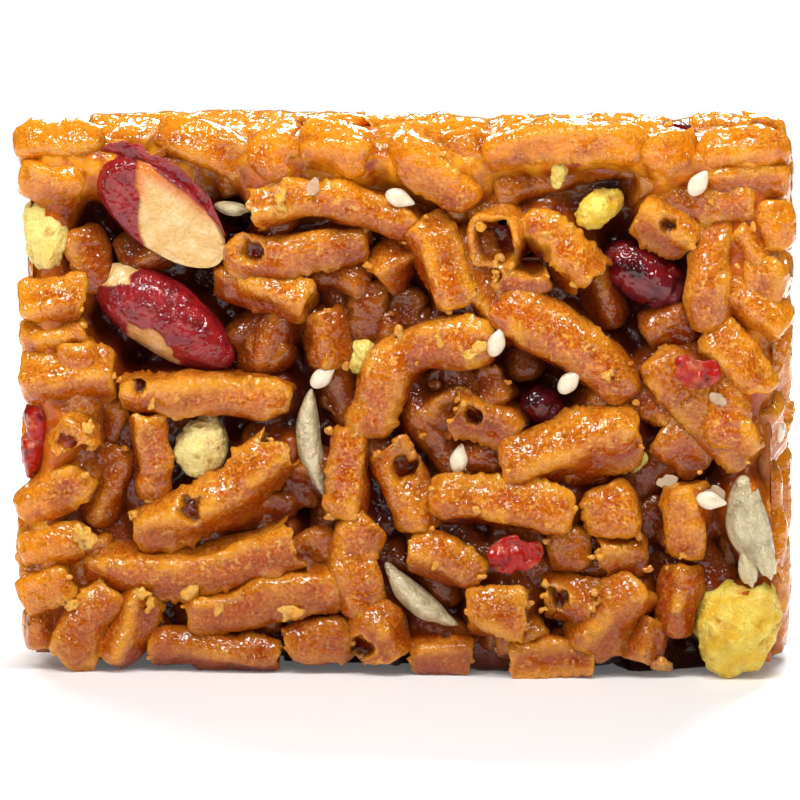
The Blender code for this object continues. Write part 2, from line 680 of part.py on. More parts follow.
def helper_collection(name):
    """A collection for shapes that are only combined with the block."""
    made = bpy.data.collections.new(name)
    bpy.context.scene.collection.children.link(made)
    return made


def strands_and_seeds():
    """Every strand, cut short where a topping lies, and the small pieces that are fused on."""
    front = []
    for start, end, bow, sinks, girth in FRONT_STRANDS:
        whole = laid(FACES["front"], (start, end), bow, sinks, girth)
        stretch = clear_stretch(whole, TOPPINGS)
        strand = whole.piece(*stretch)
        if strand.length() >= SHORTEST_STRAND or stretch == (0.0, 1.0):
            front.append(strand)
    hidden = hidden_strands(front, TOPPINGS)
    seeds = [
        Topping("sesame", "sesame", "front", (across, up), turn, SESAME_SIZE, sink)
        for across, up, turn, sink in FRONT_SESAME
    ]
    return front + hidden, [*FRONT_CRUMBS, *seeds, *hidden_seeds(hidden)]


def strand_block():
    """The core with a bed for each topping, and every strand and seed fused to it."""
    block = linked("strand_block", mesh_of("strand_block", core_shape))
    beds = helper_collection("beds")
    for topping in TOPPINGS:
        add_bed(topping, beds)
    boolean(block, "DIFFERENCE", beds)

    strands, small_pieces = strands_and_seeds()
    pieces = helper_collection("pieces")
    for strand in strands:
        linked("strand", mesh_of("strand", strand_shape, strand), pieces)
    for small in small_pieces:
        ball_at(small, small.size, 1, pieces)
    boolean(block, "UNION", pieces)

    below = helper_collection("below")
    linked("slab", mesh_of("slab", slab_shape), below)
    boolean(block, "DIFFERENCE", below)
    keep_outer_shell(block.data)
    merge_flat_faces(block.data)
    block.data.materials.clear()
    block.data.materials.append(new_material("syrup_strand", "C8752C", SYRUP_GLOSS))


for old in list(bpy.data.objects):
    bpy.data.objects.remove(old)
strand_block()
add_toppings()
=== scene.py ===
"""Sachima, finished: fried dough strands under malt syrup, with nuts, fruit, puffs and seeds.

The block is laid out in millimetres on the faces of a box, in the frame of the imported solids, and
each piece is turned to metres when its mesh is made.
"""

import math
import random
from typing import NamedTuple

import bpy
import numpy as np
from mathutils import Matrix, Vector


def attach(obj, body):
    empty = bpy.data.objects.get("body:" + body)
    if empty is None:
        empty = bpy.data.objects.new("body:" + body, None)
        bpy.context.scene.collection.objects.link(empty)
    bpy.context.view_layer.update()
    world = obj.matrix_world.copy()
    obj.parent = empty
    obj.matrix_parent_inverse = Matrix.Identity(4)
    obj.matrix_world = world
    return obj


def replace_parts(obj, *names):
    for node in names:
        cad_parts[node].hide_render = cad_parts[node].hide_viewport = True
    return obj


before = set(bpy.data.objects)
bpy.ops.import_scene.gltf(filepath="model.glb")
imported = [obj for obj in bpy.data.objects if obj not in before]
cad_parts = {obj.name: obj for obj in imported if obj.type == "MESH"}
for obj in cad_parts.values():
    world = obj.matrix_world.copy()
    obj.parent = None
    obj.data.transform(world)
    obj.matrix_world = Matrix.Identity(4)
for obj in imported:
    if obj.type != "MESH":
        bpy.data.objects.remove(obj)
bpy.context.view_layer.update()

# Stage: a white table under the block, a soft white surround, and the lens that looks almost
# level at the cut face. Softboxes above and in front give the syrup its small broken highlights.
MM = 0.001
AIM = Vector((0.3, -20.0, 28.1))
AZIMUTH, ELEVATION = 5.5, 5.0
CAMERA_DISTANCE = 400.0
LENS, SENSOR = 180.0, 36.0
TABLE_WIDTH = 0.9
TABLE_WHITE, TABLE_GLOW = "F0F0F0", 0.1
# From here to there along the table, and what its glow grows to
FADE_FROM, FADE_TO, FADE_GLOW = 80.0, 400.0, 0.85
SURROUND_WHITE = "FFFFFF"
SURROUND_SEEN, SURROUND_LIGHT = 1.0, 0.07
# Each softbox: where it stands round the block, its height angle, distance, width and power
SOFTBOXES = (
    (-32, 56, 240, 56, 0.22),
    (24, 66, 240, 56, 0.25),
    (172, 42, 1000, 320, 12.5),
    (-150, 34, 1000, 260, 3.4),
    (-16, 24, 500, 46, 0.12),
    (14, 12, 500, 38, 0.08),
    (-34, 10, 500, 38, 0.08),
    (18, 38, 500, 60, 0.24),
    (-54, 32, 500, 60, 0.24),
    (54, 38, 500, 60, 0.24),
    (-4, 48, 500, 60, 0.24),
)


def linear(colour):
    """sRGB hex digits as linear red, green, blue and an alpha of one."""
    channels = [int(colour[i : i + 2], 16) / 255 for i in (0, 2, 4)]
    return [((c + 0.055) / 1.055) ** 2.4 if c > 0.04045 else c / 12.92 for c in channels] + [1]


def from_block(azimuth, elevation, distance):
    """A point seen from the block in this direction, in metres: azimuth 0 is along -Y."""
    turn, rise = math.radians(azimuth), math.radians(elevation)
    ray = Vector((math.sin(turn) * math.cos(rise), -math.cos(turn) * math.cos(rise), math.sin(rise)))
    return (AIM + ray * distance) * MM


def look_at_block(thing, place):
    """Stands a lamp or a camera at a place and turns it to the block."""
    thing.location = place
    thing.rotation_euler = (AIM * MM - place).to_track_quat("-Z", "Y").to_euler()
    bpy.context.scene.collection.objects.link(thing)


def add_node(tree, kind, inputs=None, **settings):
    """Adds a node, sets its properties, and sets or links its inputs by name or number."""
    node = tree.nodes.new(kind)
    for name, value in settings.items():
        setattr(node, name, value)
    for name, value in (inputs or {}).items():
        if isinstance(value, bpy.types.NodeSocket):
            tree.links.new(value, node.inputs[name])
        else:
            node.inputs[name].default_value = value
    return node


def new_material(name):
    """An empty node material and its tree."""
    material = bpy.data.materials.new(name)
    material.use_nodes = True
    tree = material.node_tree
    tree.nodes.clear()
    return material, tree


camera = bpy.data.objects.new("camera", bpy.data.cameras.new("camera"))
camera.data.lens = LENS
camera.data.sensor_width = SENSOR
look_at_block(camera, from_block(AZIMUTH, ELEVATION, CAMERA_DISTANCE))
bpy.context.scene.camera = camera
bpy.context.scene.view_settings.view_transform = "Standard"

for azimuth, elevation, distance, width, power in SOFTBOXES:
    softbox = bpy.data.lights.new("softbox", "AREA")
    softbox.shape = "SQUARE"
    softbox.size = width * MM
    softbox.energy = power
    look_at_block(bpy.data.objects.new("softbox", softbox), from_block(azimuth, elevation, distance))

surround = bpy.data.worlds.new("surround")
surround.use_nodes = True
sky = surround.node_tree.nodes["Background"]
sky.inputs["Color"].default_value = linear(SURROUND_WHITE)
straight = add_node(surround.node_tree, "ShaderNodeLightPath").outputs["Is Camera Ray"]
levels = {"Value": straight, "To Min": SURROUND_LIGHT, "To Max": SURROUND_SEEN}
level = add_node(surround.node_tree, "ShaderNodeMapRange", levels).outputs["Result"]
surround.node_tree.links.new(level, sky.inputs["Strength"])
bpy.context.scene.world = surround

half = TABLE_WIDTH / 2
table_mesh = bpy.data.meshes.new("table")
table_mesh.from_pydata(
    [(-half, -half, 0), (half, -half, 0), (half, half, 0), (-half, half, 0)], [], [(0, 1, 2, 3)]
)
table = bpy.data.objects.new("table", table_mesh)
bpy.context.scene.collection.objects.link(table)
# Matt white laminate shows a soft shadow and no reflection. Away from the block it glows, so that
# the eye finds no edge between the table and the surround.
material, tree = new_material("matt_white_laminate")
place = add_node(tree, "ShaderNodeTexCoord").outputs["Object"]
away = add_node(tree, "ShaderNodeVectorMath", {0: place}, operation="LENGTH").outputs["Value"]
fade = {"Value": away, "From Min": FADE_FROM * MM, "From Max": FADE_TO * MM}
fade |= {"To Min": TABLE_GLOW, "To Max": FADE_GLOW}
look = {
    "Base Color": linear(TABLE_WHITE),
    "Roughness": 0.6,
    "Emission Color": linear(TABLE_WHITE),
    "Emission Strength": add_node(tree, "ShaderNodeMapRange", fade).outputs["Result"],
}
surface = add_node(tree, "ShaderNodeBsdfPrincipled", look).outputs["BSDF"]
add_node(tree, "ShaderNodeOutputMaterial", {"Surface": surface})
table_mesh.materials.append(material)

# The block's faces: every piece is laid on one of them, by its place across and up the face as
# seen from outside and by its depth behind it.
WIDTH, DEPTH, HEIGHT = 78.0, 40.0, 56.0
PROUD = 0.6


class Face(NamedTuple):
    """One side of the block: its lower left corner as seen from outside, and its directions."""

    corner: Vector
    across: Vector
    up: Vector
    out: Vector
    width: float
    height: float

    def at(self, across, up, deep):
        """The point that lies deep millimetres behind this face."""
        return self.corner + self.across * across + self.up * up - self.out * deep


LEFT, RIGHT, FRONT, BACK = -WIDTH / 2, WIDTH / 2, -DEPTH / 2, DEPTH / 2
X, Y, Z = Vector((1, 0, 0)), Vector((0, 1, 0)), Vector((0, 0, 1))
FACES = {
    "front": Face(Vector((LEFT, FRONT, 0)), X, Z, -Y, WIDTH, HEIGHT),
    "back": Face(Vector((RIGHT, BACK, 0)), -X, Z, Y, WIDTH, HEIGHT),
    "left": Face(Vector((LEFT, BACK, 0)), -Y, Z, -X, DEPTH, HEIGHT),
    "right": Face(Vector((RIGHT, FRONT, 0)), Y, Z, X, DEPTH, HEIGHT),
    "top": Face(Vector((LEFT, FRONT, HEIGHT)), X, Y, Z, WIDTH, DEPTH),
    "base": Face(Vector((LEFT, BACK, 0)), X, -Y, -Z, WIDTH, DEPTH),
}


class Topping(NamedTuple):
    """A piece bedded in the block: its kind, place and turn on a face, its size, its sink."""

    name: str
    kind: str
    face: str
    middle: tuple
    turn: float
    size: tuple
    sink: float

    def centre(self):
        """Its middle, which lies half its thickness under its sink."""
        return FACES[self.face].at(*self.middle, self.sink + self.size[2] / 2)

    def matrix(self):
        """Its own directions: along its length, across it, and out of the face."""
        face, turn = FACES[self.face], math.radians(self.turn)
        along = face.across * math.cos(turn) + face.up * math.sin(turn)
        turned = Matrix((along, face.out.cross(along), face.out)).transposed()
        return Matrix.Translation(self.centre()) @ turned.to_4x4()


# Peanuts: roasted kernels in their fine, wrinkled red skin, stirred into the syrup with the
# strands. One is split, and shows its cream half with the torn skin curling off its edge.
PEANUTS = (
    Topping("peanut_half", "peanut", "front", (14.8, 46.9), -40, (16.2, 8.6, 5.6), 0.0),
    Topping("peanut_whole", "peanut", "front", (14.9, 35.9), -34, (16.6, 8.4, 7.2), 1.0),
    Topping("peanut_rim", "peanut", "top", (49.4, 34.0), 6, (15.0, 7.4, 6.6), 0.0),
    Topping("peanut_back", "peanut", "back", (23.0, 38.0), 28, (16.0, 8.2, 7.2), 0.2),
    Topping("peanut_low", "peanut", "back", (56.0, 17.0), -52, (15.4, 8.0, 7.0), 0.3),
    Topping("peanut_left", "peanut", "left", (16.0, 32.0), 62, (15.0, 7.8, 6.8), 0.2),
)
PEANUT_GRIDS = {"front": (96, 110), "top": (56, 56), "back": (56, 56), "left": (56, 56)}
SKIN_RED, SKIN_DARK, SKIN_BLOOM = "981A1A", "580A10", "B04446"
FLESH_CREAM, FLESH_PALE, FLESH_AMBER = "DDB06A", "EED09A", "D8701A"
PEANUT_TAPER = 0.16


def smooth_noise(points, grain, seed):
    """Values from -1 to 1: random on a lattice one grain apart, blended by 3t^2 - 2t^3."""
    size = 32
    lattice = np.random.default_rng(seed).uniform(-1, 1, (size, size, size))
    cells = np.asarray(points) / grain
    low = np.floor(cells).astype(int)
    share = cells - low
    share = share * share * (3 - 2 * share)
    value = np.zeros(cells.shape[:-1])
    for corner in np.ndindex(2, 2, 2):
        weight = np.where(corner, share, 1 - share).prod(axis=-1)
        at = (low + corner) % size
        value += weight * lattice[at[..., 0], at[..., 1], at[..., 2]]
    return value


def step(values, low, high):
    """0 below low, 1 above high, and 3t^2 - 2t^3 between them."""
    t = np.clip((values - low) / (high - low), 0, 1)
    return t * t * (3 - 2 * t)


def ball(rings, sides):
    """Directions (-cos u, sin u cos v, sin u sin v) on a sphere whose poles are on X."""
    u = (np.arange(rings) + 0.5)[:, None] * np.pi / rings
    v = np.arange(sides)[None] * 2 * np.pi / sides
    return np.stack([-np.cos(u) + 0 * v, np.sin(u) * np.cos(v), np.sin(u) * np.sin(v)], axis=-1)


def placed(topping, points):
    """Turns points from a topping's own directions to the block's."""
    matrix = np.array(topping.matrix())
    return points @ matrix[:3, :3].T + matrix[:3, 3]


def in_place(topping, points):
    """The same, cut flat where they would stand out of the block."""
    return np.clip(placed(topping, points), (LEFT, FRONT - PROUD, 0), (RIGHT, BACK, HEIGHT))


def sewn(rings):
    """Corners and outward triangles of rings of points, with one pole closing each end."""
    count, sides = rings.shape[:2]
    corners = np.concatenate([rings.reshape(-1, 3), rings[:1].mean(1), rings[-1:].mean(1)])
    here = np.arange(sides)
    after = np.roll(here, -1)
    row = np.arange(count - 1)[:, None] * sides
    a, b = row + here, row + after
    c, d = b + sides, a + sides
    first = np.full(sides, count * sides)
    last = (count - 1) * sides
    triangles = np.concatenate([
        np.stack([a, b, c], axis=-1).reshape(-1, 3),
        np.stack([a, c, d], axis=-1).reshape(-1, 3),
        np.stack([after, here, first], axis=-1),
        np.stack([last + here, last + after, first + 1], axis=-1),
    ])
    p, q, r = (corners[triangles[:, i]] for i in range(3))
    if np.einsum("ij,ij->", np.cross(p, q), r) < 0:
        triangles = triangles[:, ::-1]
    return corners, triangles


def make_piece(name, shells, material):
    """One mesh of closed shells. A shell is its rings and its marks, each a value per corner."""
    corners, triangles, marks = [], [], {}
    count = 0
    for rings, values in shells:
        places, faces = sewn(rings)
        corners.append(places)
        triangles.append(faces + count)
        count += len(places)
        for key, value in values.items():
            value = np.broadcast_to(value, rings.shape[:2])
            marks.setdefault(key, []).append([*value.ravel(), value[0].mean(), value[-1].mean()])
    corners = np.concatenate(corners) * MM
    triangles = np.concatenate(triangles)
    mesh = bpy.data.meshes.new(name)
    mesh.vertices.add(len(corners))
    mesh.vertices.foreach_set("co", corners.ravel())
    mesh.loops.add(triangles.size)
    mesh.loops.foreach_set("vertex_index", triangles.ravel())
    mesh.polygons.add(len(triangles))
    mesh.polygons.foreach_set("loop_start", np.arange(len(triangles)) * 3)
    for key, parts in marks.items():
        mark = mesh.attributes.new(key, "FLOAT", "POINT")
        mark.data.foreach_set("value", np.concatenate(parts))
    mesh.update(calc_edges=True)
    mesh.shade_smooth()
    mesh.materials.append(material)
    made = bpy.data.objects.new(name, mesh)
    bpy.context.scene.collection.objects.link(made)
    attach(made, "root")
    return made


topping_clouds = []


def set_topping(topping, last_name, shells, material):
    """Makes a topping from its shells in place of its solid, and keeps the first for the syrup."""
    topping_clouds.append(shells[0][0])
    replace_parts(make_piece(topping.name + last_name, shells, material), topping.name)


def grain(tree, millimetres, low=0.35, high=0.65, detail=3.0):
    """Cloudy noise of this grain on the object's own coordinates, stretched to 0 to 1."""
    places = add_node(tree, "ShaderNodeTexCoord").outputs["Object"]
    cloud = add_node(
        tree,
        "ShaderNodeTexNoise",
        {"Vector": places, "Scale": 1 / (millimetres * MM), "Detail": detail},
    )
    span = {"Value": cloud.outputs["Fac"], "From Min": low, "From Max": high}
    return add_node(tree, "ShaderNodeMapRange", span).outputs["Result"]


def layered(tree, base, layers):
    """Colours laid over one another: each with its strength and what it follows."""
    colour = linear(base)
    for over, strength, *followed in layers:
        share = strength
        for value in followed:
            if isinstance(value, str):
                value = add_node(tree, "ShaderNodeAttribute", attribute_name=value).outputs["Fac"]
            product = add_node(tree, "ShaderNodeMath", {0: share, 1: value}, operation="MULTIPLY")
            share = product.outputs[0]
        blend = {0: share, 6: colour, 7: linear(over)}
        colour = add_node(tree, "ShaderNodeMix", blend, data_type="RGBA").outputs[2]
    return colour


def peanut_shell(topping, seed):
    """An egg: x = Lx/2, y and z = L/2 slimmed by a taper towards +X, wrinkled along its length."""
    way = ball(*PEANUT_GRIDS[topping.face])
    slim = 1 - PEANUT_TAPER * (way[..., 0] + 1) / 2
    points = way * np.array(topping.size) / 2
    points[..., 1:] *= slim[..., None]
    fibres = smooth_noise(points / (5.0, 0.55, 0.55), 1.0, seed)
    dents = smooth_noise(points, 3.2, seed + 1)
    points += way * (fibres * 0.07 + dents * 0.16)[..., None]
    marks = {"skin": 1.0, "amber": 0.0, "fibre": np.clip(fibres * 1.4, 0, 1)}
    return points, marks


def ribbon(path, aside, wide, thick, sides=14):
    """A closed flat band along a path: each ring is an ellipse, wide one way and thin the other."""
    heading = np.gradient(path, axis=0)
    heading /= np.linalg.norm(heading, axis=1)[:, None]
    across = np.cross(heading, aside)
    angle = np.arange(sides) * 2 * np.pi / sides
    rings = path[:, None] + aside[:, None] * (np.cos(angle) * wide[:, None] / 2)[..., None]
    return rings + across[:, None] * (np.sin(angle) * thick / 2)[None, :, None]


# Peanut skin is a thin red film, darkest in its wrinkles, over cream flesh that turns amber where
# the syrup soaks in. Under the wet coat the eye gets a deep red with a few sharp glints.
peanut_finish, tree = new_material("peanut_skin_and_flesh")
bare = layered(
    tree, FLESH_CREAM, [(FLESH_PALE, 0.8, grain(tree, 1.8, 0.45, 0.65)), (FLESH_AMBER, 1.0, "amber")]
)
skin = layered(
    tree,
    SKIN_RED,
    [(SKIN_DARK, 0.7, grain(tree, 1.4)), (SKIN_BLOOM, 0.45, "fibre", grain(tree, 3.5, 0.4, 0.6))],
)
covered = add_node(tree, "ShaderNodeAttribute", attribute_name="skin").outputs["Fac"]
colour = add_node(tree, "ShaderNodeMix", {0: covered, 6: bare, 7: skin}, data_type="RGBA").outputs[2]
wrinkled = {"Height": grain(tree, 0.4), "Distance": 0.08 * MM}
wet = {"Height": grain(tree, 1.0, 0.2, 0.8, 1.5), "Distance": 0.3 * MM}
look = {
    "Base Color": colour,
    "Roughness": 0.45,
    "Specular IOR Level": 0.05,
    "Normal": add_node(tree, "ShaderNodeBump", wrinkled).outputs[0],
    "Coat Weight": 1.0,
    "Coat Roughness": 0.03,
    "Coat Normal": add_node(tree, "ShaderNodeBump", wet).outputs[0],
    "Subsurface Weight": 0.15,
    "Subsurface Radius": (1.0, 0.5, 0.3),
    "Subsurface Scale": 0.001,
}
surface = add_node(tree, "ShaderNodeBsdfPrincipled", look).outputs["BSDF"]
add_node(tree, "ShaderNodeOutputMaterial", {"Surface": surface})

# The split face: the way square to it, and its height over the middle
SPLIT_LEAN, SPLIT_HEIGHT = (0.12, -0.10, 1.0), 1.2
# The torn skin that curls off its upper edge: radii of its bend, width and thickness
FRILL_RADII, FRILL_WIDE, FRILL_THICK = (8.5, 3.8), 1.9, 0.24


def split(egg, marks):
    """Cuts the egg at its split face, with the skin left on one third of it and along an edge."""
    height = egg @ np.array(SPLIT_LEAN)
    relief = smooth_noise(egg, 2.0, 50) * 0.14 + smooth_noise(egg, 0.7, 53) * 0.06
    egg[..., 2] += np.minimum(height, SPLIT_HEIGHT + relief) - height
    x, y = egg[..., 0], egg[..., 1]
    rag = smooth_noise(egg, 1.2, 51) * 0.5
    left = 1 - step(x + 0.95 * y + rag, -2.9, -2.5)
    band = step(y + rag * 0.4, 2.9, 3.2)
    back = 1 - step(height, 0.3, 0.8)
    covered = np.maximum(np.maximum(left, band), back)
    egg[..., 2] += covered * 0.35 * step(height, 0.0, 1.0)
    near_skin = (1 - step(x + 0.95 * y, -2.6, -0.6)) * step(y, -1.0, 1.0)
    marks["skin"] = covered
    marks["amber"] = np.maximum(near_skin, step(y - 0.12 * x, 1.2, 3.0)) * 0.9


def torn_skin():
    """A ribbon on part of an ellipse, which leans and swells unevenly."""
    t = np.linspace(0, 1, 60)
    turn = np.radians(180 - 142 * t)
    long, short = FRILL_RADII
    path = np.stack([long * np.cos(turn), short * np.sin(turn), 0.8 + 0.6 * np.sin(np.pi * t)], axis=1)
    path[:, 2] += smooth_noise(path, 1.5, 54) * 0.4
    lean = np.stack([smooth_noise(path, 2.0, 55 + i) for i in range(3)], 1)
    aside = np.array((-0.1, 0.8, 0.6)) + 0.5 * lean
    aside /= np.linalg.norm(aside, axis=1)[:, None]
    swell = np.sin(np.pi * np.clip(t + 0.04, 0, 1)) ** 0.6
    wide = 0.3 + (FRILL_WIDE + smooth_noise(path, 0.8, 58) * 1.0) * swell
    return ribbon(path, aside, wide, FRILL_THICK)


def chip(egg, marks):
    """Takes the skin off a patch of the egg and off its tip, both with a ragged edge."""
    x, y, z = egg[..., 0], egg[..., 1], egg[..., 2]
    rag = smooth_noise(egg, 1.0, 52) * 0.35
    bare = 1 - step(np.hypot((x - 0.5) / 3.2, (y + 2.8) / 1.3) + rag * 0.6, 0.92, 1.0)
    bare = bare * step(z, 0.0, 0.5)
    tip = step(y - 0.705 * x + rag, 4.2, 4.5) * (1 - step(x + rag, -5.0, -4.7))
    tip = np.maximum(tip, 1 - step(x, -7.9, -7.7))
    egg += ball(*PEANUT_GRIDS["front"]) * (-0.3 * np.maximum(bare, tip))[..., None]
    egg[..., 0] += tip * smooth_noise(egg, 0.8, 59) * 0.5
    marks["skin"] = 1 - np.maximum(bare, tip)
    marks["amber"] = bare * 0.35


for number, peanut in enumerate(PEANUTS):
    egg, marks = peanut_shell(peanut, number)
    extra = []
    if peanut.name == "peanut_half":
        split(egg, marks)
        extra = [(in_place(peanut, torn_skin()), {"skin": 1.0, "amber": 0.0, "fibre": 0.4})]
    if peanut.name == "peanut_whole":
        chip(egg, marks)
    shells = [(in_place(peanut, egg), marks)] + extra
    set_topping(peanut, "_nut", shells, peanut_finish)

# Raisins: dried grapes, their skin shrunken into soft creases, almost black red. They are pressed
# in between the strands, wet with syrup.
RAISINS = (
    Topping("raisin", "raisin", "front", (63.6, 40.6), -33, (9.8, 6.2, 5.4), 1.9),
    Topping("raisin_deep", "raisin", "front", (53.2, 27.3), -20, (5.0, 4.0, 3.8), 2.8),
    Topping("raisin_top", "raisin", "top", (66.0, 17.0), 65, (9.0, 5.4, 4.6), 0.2),
    Topping("raisin_back", "raisin", "back", (49.0, 43.0), -20, (9.6, 5.8, 5.0), 0.4),
    Topping("raisin_right", "raisin", "right", (24.0, 39.0), 40, (9.4, 5.6, 5.0), 0.3),
)
RAISIN_GRID = (64, 64)
RAISIN_DARK, RAISIN_RED, RAISIN_MAUVE = "30040A", "780C12", "7A2C3A"

# Raisin skin is nearly black, cherry red where light comes through, with a mauve bloom on one
# side. The smooth syrup on its creases gives the eye a row of small lights.
raisin_finish, tree = new_material("raisin_skin_in_syrup")
wet = {"Height": grain(tree, 1.2, 0.2, 0.8, 1.0), "Distance": 0.22 * MM}
look = {
    "Base Color": layered(
        tree,
        RAISIN_DARK,
        [(RAISIN_RED, 0.9, grain(tree, 2.0)), (RAISIN_MAUVE, 0.5, "bloom", grain(tree, 1.8, 0.3, 0.6))],
    ),
    "Roughness": 0.35,
    "Specular IOR Level": 0.05,
    "Coat Weight": 1.0,
    "Coat Roughness": 0.05,
    "Coat Normal": add_node(tree, "ShaderNodeBump", wet).outputs[0],
}
surface = add_node(tree, "ShaderNodeBsdfPrincipled", look).outputs["BSDF"]
add_node(tree, "ShaderNodeOutputMaterial", {"Surface": surface})


def raisin_shell(topping, seed):
    """An ellipsoid pulled in by creases, which follow the zero lines of a noise: 1 - |n|."""
    way = ball(*RAISIN_GRID)
    points = way * np.array(topping.size) / 2
    creases = np.maximum(0, 1 - np.abs(smooth_noise(points, 2.8, seed)) * 4)
    fine = np.maximum(0, 1 - np.abs(smooth_noise(points, 1.1, seed + 1)) * 4)
    lumps = smooth_noise(points, 3.0, seed + 2)
    points = points * (0.95 + 0.05 * lumps - 0.09 * creases - 0.03 * fine)[..., None]
    return points, {"bloom": step(points[..., 0] - points[..., 1], 0.6, 2.4)}


for number, raisin in enumerate(RAISINS):
    points, marks = raisin_shell(raisin, 100 + number * 3)
    set_topping(raisin, "_fruit", [(in_place(raisin, points), marks)], raisin_finish)

# Puffed corn: lemon yellow lumps of popped meal, crisp and dry. The block's cut goes through them
# where they meet a side.
PUFFS = (
    Topping("puff_corner", "puff", "front", (73.2, 5.0), 62, (10.4, 9.0, 8.0), 0.2),
    Topping("puff_left", "puff", "front", (18.8, 22.8), 70, (6.8, 5.4, 5.0), 1.2),
    Topping("puff_upper", "puff", "front", (58.9, 47.1), 38, (5.8, 3.4, 4.0), 1.0),
    Topping("puff_edge", "puff", "front", (3.0, 44.2), 102, (7.4, 4.6, 5.6), 0.5),
    Topping("puff_top", "puff", "top", (18.0, 27.0), 30, (7.0, 6.0, 5.0), 0.2),
    Topping("puff_back", "puff", "back", (27.0, 14.0), 15, (8.0, 6.6, 6.0), 0.2),
    Topping("puff_side", "puff", "left", (27.0, 12.0), 10, (6.6, 5.6, 5.0), 0.2),
)
# How pale they are: most as much as PALE
PALE_PUFFS = {"puff_corner": 0.0, "puff_left": 0.6, "puff_edge": 0.35, "puff_upper": 0.0}
PALE = 0.2
PUFF_LEMON, PUFF_PALE, PUFF_DEEP, PUFF_WHITE = "F0C01C", "F8E26A", "D0860A", "FFF0B4"

# Puffed corn is a dry foam: light gets in a little way and comes out warmer, so the eye sees a
# soft, matt lump with paler and deeper yellow patches and fine pores.
puff_finish, tree = new_material("puffed_corn")
rough = {"Height": grain(tree, 0.4), "Distance": 0.2 * MM}
look = {
    "Base Color": layered(
        tree,
        PUFF_LEMON,
        [
            (PUFF_PALE, 0.9, grain(tree, 1.8)),
            (PUFF_DEEP, 0.5, grain(tree, 2.6, 0.5, 0.7)),
            (PUFF_WHITE, 0.85, "pale"),
            (PUFF_DEEP, 0.45, "pore"),
        ],
    ),
    "Roughness": 0.6,
    "Coat Weight": 0.25,
    "Coat Roughness": 0.15,
    "Normal": add_node(tree, "ShaderNodeBump", rough).outputs[0],
    "Subsurface Weight": 0.35,
    "Subsurface Radius": (1.0, 0.75, 0.2),
    "Subsurface Scale": 0.002,
}
surface = add_node(tree, "ShaderNodeBsdfPrincipled", look).outputs["BSDF"]
add_node(tree, "ShaderNodeOutputMaterial", {"Surface": surface})


def puff_shell(topping, seed):
    """An ellipsoid with lumps, and with shallow pores where a finer noise is high."""
    rings = round(24 + 6 * topping.size[0])
    way = ball(rings, rings)
    points = way * np.array(topping.size) / 2
    lumps = smooth_noise(points, 2.6, seed) * 0.14 + smooth_noise(points, 1.2, seed + 1) * 0.11
    pores = step(smooth_noise(points, 0.8, seed + 2), 0.45, 0.75)
    grit = smooth_noise(points, 0.45, seed + 3) * 0.16
    points = points * (0.96 + lumps)[..., None] + way * (grit - 0.3 * pores)[..., None]
    return points, pores


for number, puff in enumerate(PUFFS):
    points, pores = puff_shell(puff, 200 + number * 4)
    marks = {"pore": pores, "pale": PALE_PUFFS.get(puff.name, PALE)}
    set_topping(puff, "_crumb", [(in_place(puff, points), marks)], puff_finish)

# Seed kernels: peeled sunflower-like seeds, greyish cream slivers with lengthwise fibres and a
# frayed end, lying in the gaps as they fell.
KERNELS = (
    Topping("kernel_left", "kernel", "front", (29.9, 23.6), -84, (10.6, 2.5, 3.0), 2.0),
    Topping("kernel_low", "kernel", "front", (40.8, 7.8), -41, (9.4, 2.6, 3.0), 1.4),
    Topping("kernel_right", "kernel", "front", (74.2, 15.8), -76, (9.8, 4.4, 4.0), 0.6),
    Topping("kernel_back", "kernel", "back", (66.0, 36.0), 70, (10.0, 3.0, 3.0), 0.4),
    Topping("kernel_side", "kernel", "right", (17.0, 18.0), -35, (10.0, 3.0, 3.0), 0.4),
)
KERNEL_GRID = (70, 48)
KERNEL_FRAY, KERNEL_BOW = 1.3, 0.03
# The whitish prongs that stand out of the right one's lower end
PRONGS, PRONG_SIZE = ((4.6, -1.1, 0.5), (4.2, 0.9, 0.9)), (4.4, 1.7, 1.6)
KERNEL_CREAM, KERNEL_GREY = "D6C49A", "8E7C50"

# A peeled kernel is waxy and lets a little light in: greyish between its cream fibres, and under
# the syrup it glints along them.
kernel_finish, tree = new_material("peeled_seed_kernel")
fibrous = {"Height": grain(tree, 0.5), "Distance": 0.15 * MM}
wet = {"Height": grain(tree, 0.9), "Distance": 0.15 * MM}
look = {
    "Base Color": layered(tree, KERNEL_CREAM, [(KERNEL_GREY, 0.8, "fibre", grain(tree, 1.5))]),
    "Roughness": 0.4,
    "Coat Weight": 1.0,
    "Coat Roughness": 0.03,
    "Coat Normal": add_node(tree, "ShaderNodeBump", wet).outputs[0],
    "Normal": add_node(tree, "ShaderNodeBump", fibrous).outputs[0],
    "Subsurface Weight": 0.3,
    "Subsurface Radius": (1.0, 0.7, 0.4),
    "Subsurface Scale": 0.001,
}
surface = add_node(tree, "ShaderNodeBsdfPrincipled", look).outputs["BSDF"]
add_node(tree, "ShaderNodeOutputMaterial", {"Surface": surface})


